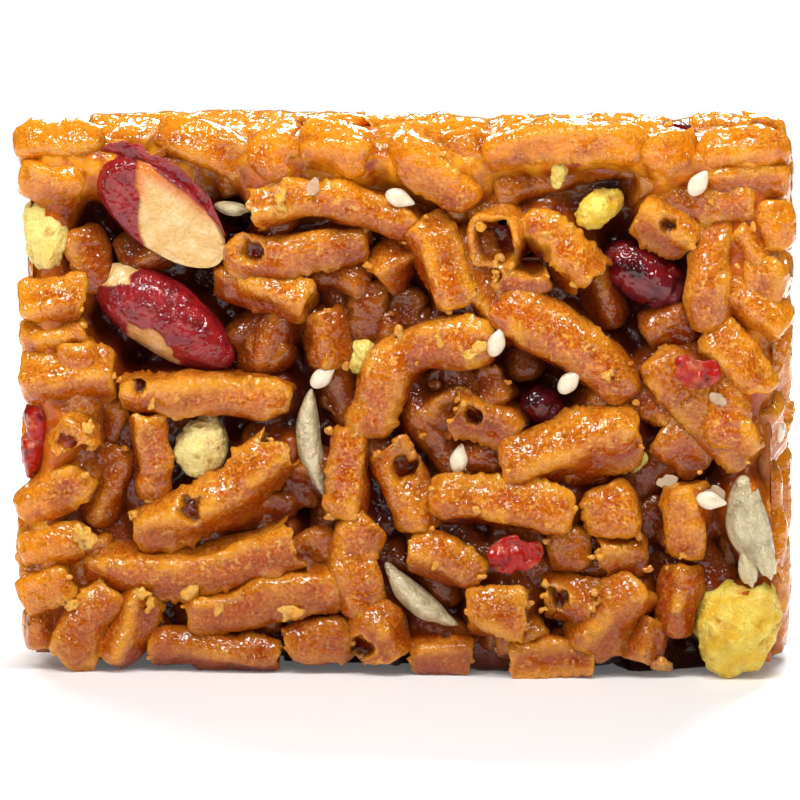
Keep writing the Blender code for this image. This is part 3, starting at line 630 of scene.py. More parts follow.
def kernel_shell(size, seed):
    """A bowed spindle, y = 0.03 x^2, with fibres along it. Its far half is blunter, by the square
    root of (1 - |x|^3) / (1 - x^2) with x from -1 to 1, and its end frays into points."""
    way = ball(*KERNEL_GRID)
    share = (way[..., 0] + 1) / 2
    far = np.abs(2 * share - 1)
    blunt = np.sqrt(np.clip(1 - far**3, 0.02, 1) / np.clip(1 - far**2, 0.02, 1))
    points = way * np.array(size) / 2
    girth = 0.72 + 0.28 * np.sin(np.pi * share) + 0.12 * (blunt - 1) * step(share, 0.5, 1)
    points[..., 1:] *= girth[..., None]
    fibres = smooth_noise(points / (6.0, 0.5, 0.5), 1.0, seed)
    points += way * (fibres * 0.12 + smooth_noise(points, 1.6, seed + 1) * 0.15)[..., None]
    frayed = smooth_noise(points / (9.0, 0.7, 0.7), 1.0, seed + 2) * KERNEL_FRAY
    points[..., 0] += step(share, 0.75, 1.0) * frayed
    points[..., 1] += KERNEL_BOW * points[..., 0] ** 2 - 0.2
    return points, {"fibre": step(fibres, -0.3, 0.5)}


for number, kernel in enumerate(KERNELS):
    points, marks = kernel_shell(kernel.size, 300 + number * 3)
    shells = [(in_place(kernel, points), marks)]
    if kernel.name == "kernel_right":
        for middle in PRONGS:
            prong, marks = kernel_shell(PRONG_SIZE, 330)
            shells.append((in_place(kernel, prong + middle), {"fibre": marks["fibre"] * 0.3}))
    set_topping(kernel, "_seed", shells, kernel_finish)

# Fruit skin: scraps torn from candied red fruit, thin, folded and wet. They stick to the strands
# at the cut face and at its left edge.
SKINS = (
    Topping("skin_right", "skin", "front", (68.9, 30.9), -8, (5.4, 3.6, 1.5), -0.6),
    Topping("skin_low", "skin", "front", (50.8, 12.6), 12, (5.0, 3.4, 2.0), 0.4),
    Topping("skin_edge", "skin", "front", (1.9, 24.4), 82, (8.6, 2.6, 5.4), 0.4),
)
SKIN_GRID = (60, 60)
FOLDS_HIGH, FOLDS_WIDE = 0.7, 1.8
FRUIT_RED, FRUIT_PEACH, FRUIT_DARK = "A8180C", "C86A40", "5C0C0C"

# Candied skin is clear red, peach where it is thinnest and dark in its folds; sugar makes it
# shine like the syrup round it.
skin_finish, tree = new_material("candied_fruit_skin")
wet = {"Height": grain(tree, 1.0, 0.2, 0.8, 1.0), "Distance": 0.2 * MM}
look = {
    "Base Color": layered(
        tree,
        FRUIT_RED,
        [
            (FRUIT_PEACH, 0.7, grain(tree, 1.6, 0.5, 0.65)),
            (FRUIT_DARK, 0.8, grain(tree, 1.1, 0.5, 0.7)),
        ],
    ),
    "Roughness": 0.35,
    "Specular IOR Level": 0.05,
    "Coat Weight": 0.7,
    "Coat Roughness": 0.06,
    "Coat Normal": add_node(tree, "ShaderNodeBump", wet).outputs[0],
    "Subsurface Weight": 0.2,
    "Subsurface Radius": (1.0, 0.3, 0.2),
    "Subsurface Scale": 0.001,
}
surface = add_node(tree, "ShaderNodeBsdfPrincipled", look).outputs["BSDF"]
add_node(tree, "ShaderNodeOutputMaterial", {"Surface": surface})


def scrap_shell(topping, seed):
    """A flat ellipsoid with a torn rim, its middle raised into folds."""
    way = ball(*SKIN_GRID)
    points = way * np.array(topping.size) / 2
    flat = (1, 1, 0)
    torn = 1.15 - 0.35 * step(smooth_noise(points * flat, 1.7, seed), -0.1, 0.5)
    points[..., :2] *= torn[..., None]
    folds = np.abs(smooth_noise(points * flat, FOLDS_WIDE, seed + 1)) - 0.3
    points[..., 2] = points[..., 2] * 0.6 + folds * FOLDS_HIGH + 0.3
    return points


for number, scrap in enumerate(SKINS):
    shell = in_place(scrap, scrap_shell(scrap, 400 + number * 2))
    set_topping(scrap, "_scrap", [(shell, {})], skin_finish)

# Where the strands lie: they are noodles, stirred in syrup and pressed into a slab that is cut
# into blocks. The front ones lie as they do in the photo, each by its ends; the others are drawn
# from seeded chance, the one that covers most bare ground first, by the same rule as the solids.
SEED = 20
# How near a strand comes to a topping, whose bumpy outline fills this share of its ellipsoid
CLEARANCE, MEAN_FILL = 0.4, 0.93
PLACES_TESTED, SIDES_TESTED = 25, 10
BASE_TRIM = 0.75
POINT_STEP = 1.5
SHORTEST_STRAND = 3.5


class Strand(NamedTuple):
    """A strand's axis, a curve with one bend, and its girth."""

    start: Vector
    bend: Vector
    end: Vector
    girth: float

    def at(self, t):
        """The point at share t of the axis, by the formula of a quadratic curve."""
        return self.start * (1 - t) ** 2 + self.bend * 2 * t * (1 - t) + self.end * t**2

    def piece(self, low, high):
        """The stretch of this strand between two shares of its axis."""
        middle = (
            self.start * (1 - low) * (1 - high)
            + self.bend * (low + high - 2 * low * high)
            + self.end * low * high
        )
        return Strand(self.at(low), middle, self.at(high), self.girth)

    def length(self):
        """The mean of the straight way and the way over the bend."""
        over_bend = (self.bend - self.start).length + (self.end - self.bend).length
        return over_bend / 2 + (self.end - self.start).length / 2


def frames_along(strand, count):
    """Points on the axis with two directions square to it, each an array of count rows."""
    t = np.linspace(0, 1, count)[:, None]
    start, bend, end = (np.array(p) for p in (strand.start, strand.bend, strand.end))
    places = start * (1 - t) ** 2 + bend * 2 * t * (1 - t) + end * t**2
    headings = (bend - start) * (1 - t) + (end - bend) * t
    headings /= np.linalg.norm(headings, axis=1)[:, None]
    least = np.eye(3)[np.abs(end - start).argmin()]
    sides = np.cross(headings, least)
    sides /= np.linalg.norm(sides, axis=1)[:, None]
    return places, sides, np.cross(headings, sides)


def clear_stretch(strand, toppings):
    """The longest stretch of a strand that keeps clear of the toppings, as two shares."""
    places, sides, others = frames_along(strand, PLACES_TESTED)
    angles = np.linspace(0, 2 * np.pi, SIDES_TESTED, endpoint=False)[:, None, None]
    skin = places + (sides * np.cos(angles) + others * np.sin(angles)) * strand.girth / 2
    tested = np.concatenate([places[None], skin])
    clear = np.ones(PLACES_TESTED, bool)
    for topping in toppings:
        clear &= ~inside_topping(tested, topping).any(axis=0)
    best, start = (0, -1), 0
    for i, free in enumerate(clear):
        if not free:
            start = i + 1
        elif i - start > best[1] - best[0]:
            best = (start, i)
    return best[0] / (PLACES_TESTED - 1), best[1] / (PLACES_TESTED - 1)


def inside_topping(points, topping):
    """Whether each point comes nearer than the clearance to a topping's ellipsoid."""
    place = topping.matrix()
    turned = (points - np.array(place.translation)) @ np.array(place.to_3x3())
    halves = np.array(topping.size) / 2 * MEAN_FILL + CLEARANCE
    return ((turned / halves) ** 2).sum(axis=-1) < 1


def laid(face, ends, bow, sinks, girth):
    """A strand laid on a face. A sink is how far its near side lies behind the face."""
    (across_1, up_1), (across_2, up_2) = ends
    start = face.at(across_1, up_1, sinks[0] + girth / 2)
    end = face.at(across_2, up_2, sinks[1] + girth / 2)
    run = end - start
    aside = face.out.cross(run)
    if aside.length:
        aside.normalize()
    return Strand(start, (start + end) / 2 + aside * 2 * bow, end, girth)


# Each row: start and end, across and up; bow to the left of that run; sinks; girth; and what its
# ends are like: c cut, h hollow, t torn open, r rounded over
FRONT_STRANDS = (
    # the top edge, from left to right
    ((1.9, 53.0), (8.4, 53.6), 0.3, (0.6, 0.8), 4.3, "rr"),
    ((11.8, 54.2), (23.6, 52.0), 0.5, (2.6, 1.2), 4.3, "rr"),
    ((24.4, 53.0), (28.4, 51.8), 0.2, (0.2, 0.3), 4.6, "rr"),
    ((29.6, 53.2), (35.8, 52.8), 0.2, (0.0, 0.2), 4.6, "rr"),
    ((38.8, 53.6), (46.4, 48.2), 0.3, (0.0, 0.2), 5.0, "rr"),
    ((43.6, 53.2), (47.4, 52.2), 0.1, (1.4, 1.4), 4.2, "rr"),
    ((48.2, 52.4), (63.4, 53.2), 1.0, (0.2, 0.2), 3.9, "rr"),
    ((55.6, 51.0), (61.4, 51.8), 0.1, (2.2, 2.2), 3.8, "rr"),
    ((63.8, 52.0), (68.2, 52.8), 0.2, (0.2, 0.3), 4.6, "rr"),
    ((69.4, 52.6), (76.2, 53.2), 0.2, (0.1, 0.4), 4.2, "rr"),
    ((70.2, 50.4), (76.2, 50.0), 0.2, (0.4, 0.5), 4.0, "rr"),
    # the upper left
    ((2.4, 49.9), (7.0, 49.4), 0.2, (0.5, 0.6), 4.2, "cc"),
    ((5.8, 46.2), (8.4, 45.0), 0.2, (0.4, 0.8), 3.8, "cc"),
    ((2.3, 37.6), (7.0, 37.4), 0.2, (0.0, 0.1), 4.4, "cc"),
    ((2.2, 34.0), (7.2, 34.2), -0.2, (0.7, 0.8), 4.0, "cc"),
    ((2.6, 29.8), (10.0, 30.6), 0.1, (0.1, 0.2), 4.5, "cc"),
    # round the arched strand
    ((24.6, 47.0), (40.4, 45.4), 1.8, (0.0, 0.1), 4.1, "tr"),
    ((21.8, 42.4), (35.6, 43.8), -0.4, (0.6, 1.4), 4.2, "rc"),
    ((17.4, 40.2), (29.8, 37.6), 0.4, (3.6, 0.1), 4.2, "cc"),
    ((30.9, 36.6), (32.2, 31.2), 0.2, (0.4, 0.2), 4.2, "cc"),
    ((40.8, 45.6), (45.2, 37.4), 0.4, (0.0, 0.3), 4.1, "cc"),
    ((39.8, 43.2), (36.6, 40.2), 0.1, (1.2, 0.6), 4.1, "cc"),
    ((39.5, 37.2), (39.7, 37.0), 0.0, (1.4, 4.5), 4.0, "cc"),
    ((25.3, 33.4), (25.7, 33.2), 0.0, (0.2, 4.0), 4.6, "cc"),
    ((32.5, 27.4), (32.7, 27.2), 0.0, (1.8, 4.5), 3.6, "cc"),
    # the two great arcs of the middle
    ((46.2, 45.0), (49.2, 36.6), -0.8, (2.6, 0.5), 4.8, "rr"),
    ((48.4, 37.2), (62.2, 28.8), 1.1, (0.3, 0.1), 5.4, "rr"),
    ((48.2, 33.7), (35.8, 24.2), -4.3, (0.2, 0.1), 5.2, "rc"),
    ((48.7, 44.0), (50.6, 45.4), 0.0, (-3.2, 3.0), 6.0, "hc"),
    ((51.4, 46.0), (59.6, 37.6), 0.6, (0.1, 0.0), 4.7, "ct"),
    ((48.8, 39.9), (53.8, 40.8), -0.1, (0.0, 0.0), 3.9, "tc"),
    ((43.8, 29.9), (44.0, 29.7), 0.0, (1.8, 4.5), 4.1, "cc"),
    ((46.6, 27.8), (55.2, 33.0), 0.5, (1.6, 1.8), 4.4, "cc"),
    ((40.8, 25.0), (46.0, 28.2), 0.2, (1.7, 1.8), 4.6, "cc"),
    ((44.6, 26.8), (50.6, 24.0), 0.3, (0.4, 0.8), 4.4, "tc"),
    ((49.8, 20.7), (63.2, 24.8), 0.5, (0.0, 0.0), 5.4, "cc"),
    # the upper right
    ((64.8, 48.1), (74.4, 47.7), -0.2, (1.2, 0.8), 4.0, "cc"),
    ((63.2, 47.0), (68.4, 43.8), 0.2, (-0.3, 0.0), 4.4, "cc"),
    ((72.4, 44.7), (74.6, 41.8), 0.2, (0.2, 0.4), 3.8, "cc"),
    ((76.0, 48.0), (76.2, 43.4), 0.0, (0.4, 0.4), 3.7, "cc"),
    ((75.9, 42.2), (75.4, 38.0), 0.0, (0.3, 0.3), 4.0, "cc"),
    ((69.2, 40.0), (76.2, 35.8), 0.4, (1.2, 0.4), 4.5, "cc"),
    ((70.5, 35.4), (74.6, 28.8), 0.5, (1.3, 0.3), 4.6, "cc"),
    ((64.6, 32.4), (76.2, 21.4), -0.5, (1.3, 0.0), 5.0, "cc"),
    ((65.0, 24.6), (69.6, 21.4), 0.2, (0.6, 0.6), 4.9, "cc"),
    # the left edge and the lower left
    ((4.9, 25.6), (6.6, 22.6), 0.2, (0.2, 0.0), 4.0, "ch"),
    ((6.8, 20.6), (2.6, 17.4), 0.2, (0.1, 0.1), 4.2, "cc"),
    ((10.2, 22.8), (7.0, 15.0), 0.3, (1.4, 1.6), 4.2, "cc"),
    ((2.5, 17.0), (2.0, 8.4), 0.0, (1.6, 1.4), 3.5, "cc"),
    ((3.2, 12.4), (7.0, 12.8), 0.1, (0.3, 0.3), 4.4, "cc"),
    ((5.6, 9.6), (2.2, 8.0), 0.0, (0.0, 0.1), 4.0, "cc"),
    ((1.9, 6.4), (2.4, 2.4), 0.0, (1.0, 1.2), 3.5, "cc"),
    ((9.4, 8.4), (4.4, 1.6), 0.3, (0.8, 0.4), 4.8, "cc"),
    ((13.2, 7.9), (8.8, 1.6), 0.2, (0.8, 0.5), 4.2, "cc"),
    ((10.8, 28.3), (28.6, 27.7), 0.3, (0.1, 0.0), 4.1, "cc"),
    ((13.5, 26.2), (13.5, 17.6), 0.1, (0.2, 1.4), 4.0, "cc"),
    ((12.2, 14.6), (27.6, 23.4), -1.6, (0.0, 0.0), 4.7, "ct"),
    ((7.2, 11.3), (28.0, 13.4), -1.9, (0.2, 0.0), 4.6, "rt"),
    ((13.6, 2.1), (26.6, 1.9), 0.2, (1.3, 1.2), 3.6, "cc"),
    ((17.4, 6.0), (33.0, 8.8), 0.3, (0.3, 1.0), 4.5, "cc"),
    ((26.2, 9.8), (32.4, 13.4), 0.2, (1.6, 1.6), 3.7, "cc"),
    ((27.8, 2.4), (34.0, 3.8), 0.2, (1.2, 1.4), 4.6, "cc"),
    # the lower middle
    ((33.5, 25.0), (33.5, 16.0), 0.1, (0.0, 0.0), 4.3, "cc"),
    ((37.8, 23.0), (41.3, 14.8), 0.4, (0.5, 0.3), 4.2, "hc"),
    ((42.4, 18.0), (56.4, 16.4), 0.4, (0.0, 0.1), 4.6, "cc"),
    ((38.8, 12.8), (48.2, 10.0), 0.3, (0.1, 0.2), 4.2, "cc"),
    ((36.4, 15.4), (36.2, 6.4), -2.3, (0.3, 0.2), 4.7, "cc"),
    ((35.6, 6.6), (38.0, 1.8), 0.2, (-0.1, 0.0), 4.8, "rh"),
    ((40.2, 1.7), (46.2, 1.9), 0.2, (1.8, 1.9), 3.6, "ch"),
    ((46.2, 6.5), (52.0, 6.4), 0.1, (0.1, 0.0), 5.0, "ch"),
    ((48.8, 3.2), (53.6, 4.8), -0.2, (1.9, 1.9), 4.2, "cc"),
    ((54.2, 12.5), (58.4, 12.9), 0.1, (0.4, 0.3), 4.4, "cc"),
    ((53.8, 8.4), (58.6, 7.8), 0.1, (0.2, 0.2), 4.0, "tt"),
    ((50.6, 1.6), (58.6, 1.9), 0.3, (1.0, 1.1), 3.9, "tc"),
    # the lower right
    ((60.2, 19.6), (61.2, 14.4), 0.2, (0.2, 0.1), 5.4, "cc"),
    ((59.4, 12.0), (64.0, 12.6), 0.1, (0.4, 0.4), 4.2, "hc"),
    ((63.4, 9.6), (57.8, 2.6), -0.3, (0.3, 0.5), 5.4, "cc"),
    ((64.2, 6.0), (63.2, 1.8), 0.0, (1.6, 1.6), 4.0, "cc"),
    ((68.0, 19.6), (67.8, 12.6), 0.1, (0.0, 0.1), 4.3, "cc"),
    ((67.3, 11.4), (66.6, 4.8), 0.2, (0.2, 0.3), 4.0, "cr"),
    ((72.0, 14.4), (70.4, 11.0), 0.2, (1.2, 1.4), 4.2, "cc"),
)

# Strands that only show in the gaps between those: start, end and sink
SUNK_STRANDS = (
    ((6.2, 44.8), (7.4, 38.4), 2.6),
    ((29.4, 39.9), (35.6, 39.6), 3.0),
    ((35.6, 39.6), (35.3, 33.6), 3.2),
    ((48.4, 49.1), (54.2, 49.9), 2.6),
    ((55.2, 19.8), (59.6, 22.6), 2.6),
    ((63.8, 34.0), (68.6, 36.0), 2.6),
    ((62.2, 27.8), (67.4, 25.8), 2.4),
    ((4.4, 27.6), (10.8, 25.2), 2.0),
    ((10.4, 41.6), (15.4, 42.8), 3.4),
    ((22.0, 33.0), (27.6, 36.4), 3.4),
    ((36.4, 30.6), (41.6, 34.6), 3.2),
    ((26.8, 19.8), (34.6, 20.4), 3.4),
    ((20.2, 16.8), (28.2, 17.4), 3.0),
    ((43.0, 21.4), (49.8, 21.8), 3.4),
    ((58.0, 42.0), (59.8, 35.2), 3.2),
    ((66.2, 15.6), (71.8, 8.4), 3.2),
)

# How many are drawn for each face: at its surface, behind that as a second layer, and between
HIDDEN_STRANDS = {"top": 17, "back": 27, "left": 14, "right": 15, "base": 13}
INNER_STRANDS = {"front": 40, "top": 24, "back": 36, "left": 18, "right": 18, "base": 14}
BETWEEN_STRANDS = {"top": 10, "back": 20, "left": 12, "right": 12}
STRAND_LENGTHS = (21.0, 8.0)
STRAND_GIRTHS = (4.2, 5.2)
STRAND_SINKS = (0.0, 0.8)
INNER_SINKS = (3.0, 4.6)
BETWEEN_SINKS = (0.9, 2.2)
BOW_SHARE = 0.17
# Every fifth stands on end in a cut face: where its foot and tip lie, and how far it leans
END_ON_EVERY, FIRST_END_ON = 5, 2
FOOT_DEPTH, TIP_DEPTH = 4.4, 0.9
END_ON_LEAN = 1.0
RIM = 0.3
DRAWS_PER_STRAND = 90
GROUND_STEP = 1.5
CROSSING_COST = 1.3
STRAND_GIRTH = 4.4


def random_strand(face, length, draws):
    """A strand of about this length somewhere on the face, lying flat on it."""
    girth = draws.uniform(*STRAND_GIRTHS)
    middle = (draws.uniform(0, face.width), draws.uniform(0, face.height))
    turn = draws.uniform(0, math.pi)
    bow = draws.uniform(-BOW_SHARE, BOW_SHARE) * length
    sink = -BASE_TRIM if face.out.z < 0 else draws.uniform(*STRAND_SINKS)
    run = (math.cos(turn) * length / 2, math.sin(turn) * length / 2)
    ends = (
        (middle[0] - run[0], middle[1] - run[1]),
        (middle[0] + run[0], middle[1] + run[1]),
    )
    return laid(face, ends, bow, (sink, sink), girth)


def end_on_strand(face, draws):
    """A strand that stands out of a cut face, so that only its round end shows."""
    girth = draws.uniform(*STRAND_GIRTHS)
    room = girth / 2 + RIM
    foot = (draws.uniform(room, face.width - room), draws.uniform(room, face.height - room))
    tip = [place + draws.uniform(-END_ON_LEAN, END_ON_LEAN) for place in foot]
    return laid(face, (foot, tip), 0.0, (FOOT_DEPTH - girth / 2, TIP_DEPTH - girth / 2), girth)


def points_along(strand):
    """Points on the axis, evenly spaced, as an array."""
    return frames_along(strand, max(3, round(strand.length() / POINT_STEP)))[0]


def inside_block(points, radius):
    """Whether a strand with these axis points stays in the block, but for what the base trims."""
    low = np.array((LEFT, FRONT, -BASE_TRIM)) + radius
    high = np.array((RIGHT, BACK, HEIGHT)) - radius
    return bool((points > low - 0.01).all() and (points < high + 0.01).all())


def ground_points(face):
    """A grid of points just under a face, which its strands are to cover."""
    across = np.arange(GROUND_STEP / 2, face.width, GROUND_STEP)
    up = np.arange(GROUND_STEP / 2, face.height, GROUND_STEP)
    return np.array([face.at(a, u, STRAND_GIRTH / 2) for a in across for u in up])


def near(points, strand):
    """Which of these points a strand covers."""
    gaps = np.linalg.norm(points[:, None] - points_along(strand)[None], axis=2)
    return gaps.min(axis=1) < strand.girth / 2


def best_strands(name, wanted, laid_before, toppings, draws, sinks=None):
    """Strands for a face, the longest first: of each some draws, the one that covers most."""
    face = FACES[name]
    ground = ground_points(face)
    if sinks:
        ground -= np.array(face.out) * sinks[0]
    covered = np.zeros(len(ground))
    for strand in laid_before:
        covered += near(ground, strand)
    for topping in toppings:
        covered += 2 * inside_topping(ground, topping)
    found = []
    for i in range(wanted):
        longest, shortest = STRAND_LENGTHS
        length = longest + (shortest - longest) * i / (wanted - 1)
        best, most = None, 0
        for _ in range(DRAWS_PER_STRAND):
            if not sinks and abs(face.out.z) < 0.5 and i % END_ON_EVERY == FIRST_END_ON:
                strand = end_on_strand(face, draws)
                fits = True
            else:
                strand = random_strand(face, length, draws)
                if sinks:
                    inward = face.out * draws.uniform(*sinks)
                    strand = Strand(*(end - inward for end in strand[:3]), strand.girth)
                fits = inside_block(points_along(strand), strand.girth / 2)
            if not fits:
                continue
            under = covered[near(ground, strand)]
            gain = (under == 0).sum() - CROSSING_COST * under.sum()
            if gain > most and clear_stretch(strand, toppings) == (0.0, 1.0):
                best, most = strand, gain
        if best:
            found.append(best)
            covered += near(ground, best)
    return found


toppings = PEANUTS + RAISINS + PUFFS + KERNELS + SKINS
front = []
for start, end, bow, sinks, girth, ends in FRONT_STRANDS:
    whole = laid(FACES["front"], (start, end), bow, sinks, girth)
    stretch = clear_stretch(whole, toppings)
    strand = whole.piece(*stretch)
    if strand.length() >= SHORTEST_STRAND or stretch == (0.0, 1.0):
        front.append((strand, ends))
front_strands = [strand for strand, _ in front]
draws = random.Random(SEED)
hidden = {}
for name, wanted in HIDDEN_STRANDS.items():
    before = front_strands + [strand for group in hidden.values() for strand in group]
    hidden[name] = best_strands(name, wanted, before, toppings, draws)
all_hidden = [strand for group in hidden.values() for strand in group]
between = []
for name, wanted in BETWEEN_STRANDS.items():
    before = front_strands + all_hidden + between
    between += best_strands(name, wanted, before, toppings, draws, BETWEEN_SINKS)
inner = []
for name, wanted in INNER_STRANDS.items():
    inner += best_strands(name, wanted, inner, toppings, draws, INNER_SINKS)

# Strands: noodles of egg dough, fried until they puff. The crust is uneven and crinkled, the ends
# are cut, hollow or torn, and set malt syrup holds each one to the next.
# The crumb gold is also painted light, the crust red and the crumb dark are also painted shade, the
# glaze orange is partly painted light, and the shaded red and deep maroon are painted shade.
CRUST_ORANGE, CRUST_GOLD, CRUST_RED_AND_SHADE, CRUST_TAN = "C65E05", "E29826", "8E2802", "D48834"
CRUMB_GOLD_AND_LIGHT, CRUMB_CREAM, CRUMB_DARK_AND_HOLE_SHADE, GLAZE_AND_LIGHT_ORANGE = "F0B64A", "F6D68E", "742A04", "F6A81E"
SHADED_RED, DEPTH_SHADE_MAROON, SYRUP_CLEAR = "7E2002", "340803", "FFE2A0"
AXIS_PLACES = 40
SECTION_FILL = 1.03
# How far the axis wanders and how much the strand swells, and over what length
WANDER, WANDER_GRAIN = 0.45, 4.5
SWELL, SWELL_GRAIN = 0.15, 3.4
# The section: how far it twists, how flat it may be, and the power p that makes it square
TWIST, FLATTER = 0.9, 0.16
SQUARE_FROM, SQUARE_TO = 2.6, 4.6
# Relief of the crust: how high and how wide its dents, crinkles and blisters are
RELIEF = ((0.32, 2.4), (0.14, 1.1), (0.03, 0.5))
FROTH_HIGH, FROTH_WIDE = 0.9, 0.6
# Caps, ring by ring to the middle: how far out along the axis, share of the radius, crumb (below
# zero in a hollow, which gets painted shade), for an end that is rounded, cut, hollow or torn
CAPS = {
    "r": (
        (-1.4, 0.97, 0), (-0.6, 0.9, 0), (0.1, 0.76, 0),
        (0.5, 0.56, 0.1), (0.7, 0.34, 0.2), (0.76, 0.12, 0.2),
    ),
    "c": (
        (-1.0, 0.97, 0), (-0.4, 0.91, 0.2), (0, 0.8, 0.9),
        (0.2, 0.62, 0.9), (0.1, 0.4, 0.4), (-0.1, 0.15, 0),
    ),
    "h": (
        (-0.3, 1.0, 0.1), (0, 0.96, 0.8), (0, 0.84, 1),
        (-0.4, 0.7, 0.4), (-1.8, 0.62, -0.5), (-3.2, 0.3, -1),
    ),
    "t": (
        (0.0, 1.02, 0.3), (0.3, 1.03, 0.9), (0.2, 0.9, 1),
        (-0.5, 0.76, 0.6), (-1.5, 0.62, -0.4), (-2.6, 0.2, -1),
    ),
}
# How far the broken rims stand out, from how far along, and how high and wide their rags are
RAGGED = {"r": 0.2, "c": 0.35, "h": 0.5, "t": 1.2}
RAGGED_REACH = 1.6
RAGS = ((0.8, 1.4), (0.6, 0.85))
PRESS_FROM, PRESS_GIVES = 0.1, 0.6
# An end this near the left or right side is drawn out to this gap from it
SIDE_GAP, SIDE_NEAR = 0.7, 2.6
# Away from the rim the strands lean a little in depth, and the short ones lie deeper
EDGE_ZONE, FRONT_TILT = 8.0, 1.1
SHORT_STRAND, SHORT_SUNK = 7.0, 0.7
# A strand that runs further than this into the block keeps its place
END_ON_DEPTH = 2.4
# Holes torn in the crust of the front strands: across, up, radius; the other faces have some too
FRONT_HOLES = (
    (24.2, 42.8, 1.2), (52.4, 42.4, 2.1), (18.0, 16.9, 1.5), (35.4, 2.9, 1.2), (39.6, 21.0, 1.3),
    (5.6, 23.6, 1.0), (60.4, 37.6, 1.5), (46.6, 26.4, 1.0), (55.2, 8.2, 1.1), (12.6, 29.0, 0.7),
    (51.6, 13.4, 1.0), (29.0, 51.4, 0.8), (66.0, 45.6, 0.9), (44.0, 5.0, 1.2),
)
HOLES_ELSEWHERE = {"top": 6, "back": 12, "left": 6, "right": 6}
HOLE_SIZES, HOLE_DEPTH = (0.8, 1.4), 1.9
# A hole fades out between these depths behind its face, so that it stays on the near side
HOLE_FADES = (2.2, 3.2)
# What the colours follow: depth up to this, for painted shade, and the glaze, partly painted light,
# which fades between these from the rim
DEEPEST_MARK = 10
GLAZE_FADES, GLAZE_UNEVEN, GLAZE_GRAIN, GLAZE_SIDES = (3.0, 9.0), 3, 5.0, 4


def pressed(points):
    """Points as the frame of the press leaves them: what stands out more than PRESS_FROM is drawn
    back along 1 - e^-x, and nothing goes under the block."""
    low, high = np.array((LEFT, FRONT, 0)), np.array((RIGHT, BACK, HEIGHT))
    for side, sign in ((low, -1), (high, 1)):
        out = np.maximum(sign * (points - side) - PRESS_FROM, 0)
        points = points - sign * (out - PRESS_GIVES * (1 - np.exp(-out / PRESS_GIVES)))
    points[..., 2] = np.maximum(points[..., 2], 0)
    return points


def strand_shell(strand, ends, sides, step_along, seed):
    """A tube round a bent axis, its section |cos|^p + |sin|^p = r^-p, with a cap at each end."""
    draws = np.random.default_rng(seed)
    home = draws.uniform(0, 90, 3)
    length = strand.length()
    places, across, other = frames_along(strand, AXIS_PLACES)
    for number, aside in enumerate((across, other)):
        wander = smooth_noise(places + home, WANDER_GRAIN, 20 + number) * WANDER
        places = places + aside * wander[:, None]

    # Every ring: where along the axis it stands, its share of the radius, and how crumbly it is
    first, last = (np.array(CAPS[kind]) for kind in ends)
    start, stop = -first[0, 0] + step_along, length + last[0, 0] - step_along
    between = np.linspace(start, stop, max(2, round((stop - start) / step_along)))
    body = np.stack([between, 0 * between + 1, 0 * between], axis=1)
    rings = np.concatenate([first[::-1] * (-1, 1, 1), body, last + (length, 0, 0)])
    along, share, crumb = rings.T[..., None]
    marks_along = np.linspace(0, length, AXIS_PLACES)
    places, across, other = (
        np.stack([np.interp(along[:, 0], marks_along, values[:, k]) for k in range(3)], axis=1)
        for values in (places, across, other)
    )
    heading = np.cross(across, other)
    middle = places + heading * (along - np.clip(along, 0, length))

    angle = np.arange(sides) * 2 * np.pi / sides
    square = draws.uniform(SQUARE_FROM, SQUARE_TO)
    twist = draws.uniform(-1, 1) * TWIST * along / length
    turned = angle + draws.uniform(0, np.pi) + twist
    corner = (np.abs(np.cos(turned)) ** square + np.abs(np.sin(turned)) ** square) ** (-1 / square)
    flatter = 1 + draws.uniform(-FLATTER, FLATTER) * np.cos(2 * turned)
    swell = 1 + SWELL * smooth_noise(middle + home, SWELL_GRAIN, 22)[:, None]
    radius = strand.girth / 2 * SECTION_FILL * share * swell * corner * flatter
    way = across[:, None] * np.cos(angle)[:, None] + other[:, None] * np.sin(angle)[:, None]
    points = middle[:, None] + way * radius[..., None]

    here = points + home
    ridge = np.clip((corner - 1) / (2 ** (0.5 - 1 / square) - 1), 0, 1) ** 2
    relief = sum(high * smooth_noise(here, wide, 23 + k) for k, (high, wide) in enumerate(RELIEF))
    froth = step(smooth_noise(here, 2.6, 29), -0.1, 0.35) * ridge
    relief += froth * np.abs(smooth_noise(here, FROTH_WIDE, 30)) * FROTH_HIGH
    points = points + way * (relief * np.minimum(1, share * 1.4))[..., None]
    rim = sum(high * smooth_noise(here, wide, 27 + k) for k, (high, wide) in enumerate(RAGS))
    ragged = RAGGED[ends[0]] * (1 - step(along, 0, RAGGED_REACH))
    ragged = ragged + RAGGED[ends[1]] * (1 - step(length - along, 0, RAGGED_REACH))
    points += heading[:, None] * (rim * ragged * step(share, 0.2, 0.7))[..., None]
    points = pressed(points)

    facing_up = way[..., 2]
    # Painted shade: the lower strands are reddened, as light falls from above.
    lower_strand_shade = 1 - step(points[..., 2], 3.0, 15.0)
    marks = {
        "tone": draws.uniform(0, 1),
        "crumb": np.maximum(np.clip(crumb, 0, 1) + 0 * ridge, froth),
        # Painted shade in a hollow end.
        "hole": np.clip(-crumb, 0, 1) + 0 * ridge,
        # Painted light: the upward sides of the crust are made golden.
        "crest": step(facing_up, 0.0, 0.95),
        # Painted shade: downward sides and the lower strands are reddened.
        "under": np.maximum(1 - step(facing_up, -0.9, 0.1), 0.7 * lower_strand_shade),
        # Raised bumps are paler: partly blistered crust, partly painted light.
        "raised": step(relief, 0.0, 0.35),
        # Painted shade in the dents of the crust.
        "dented": 1 - step(relief, -0.3, 0.0),
        "ridge": ridge * np.minimum(1, share * 1.2),
    }
    return points, marks


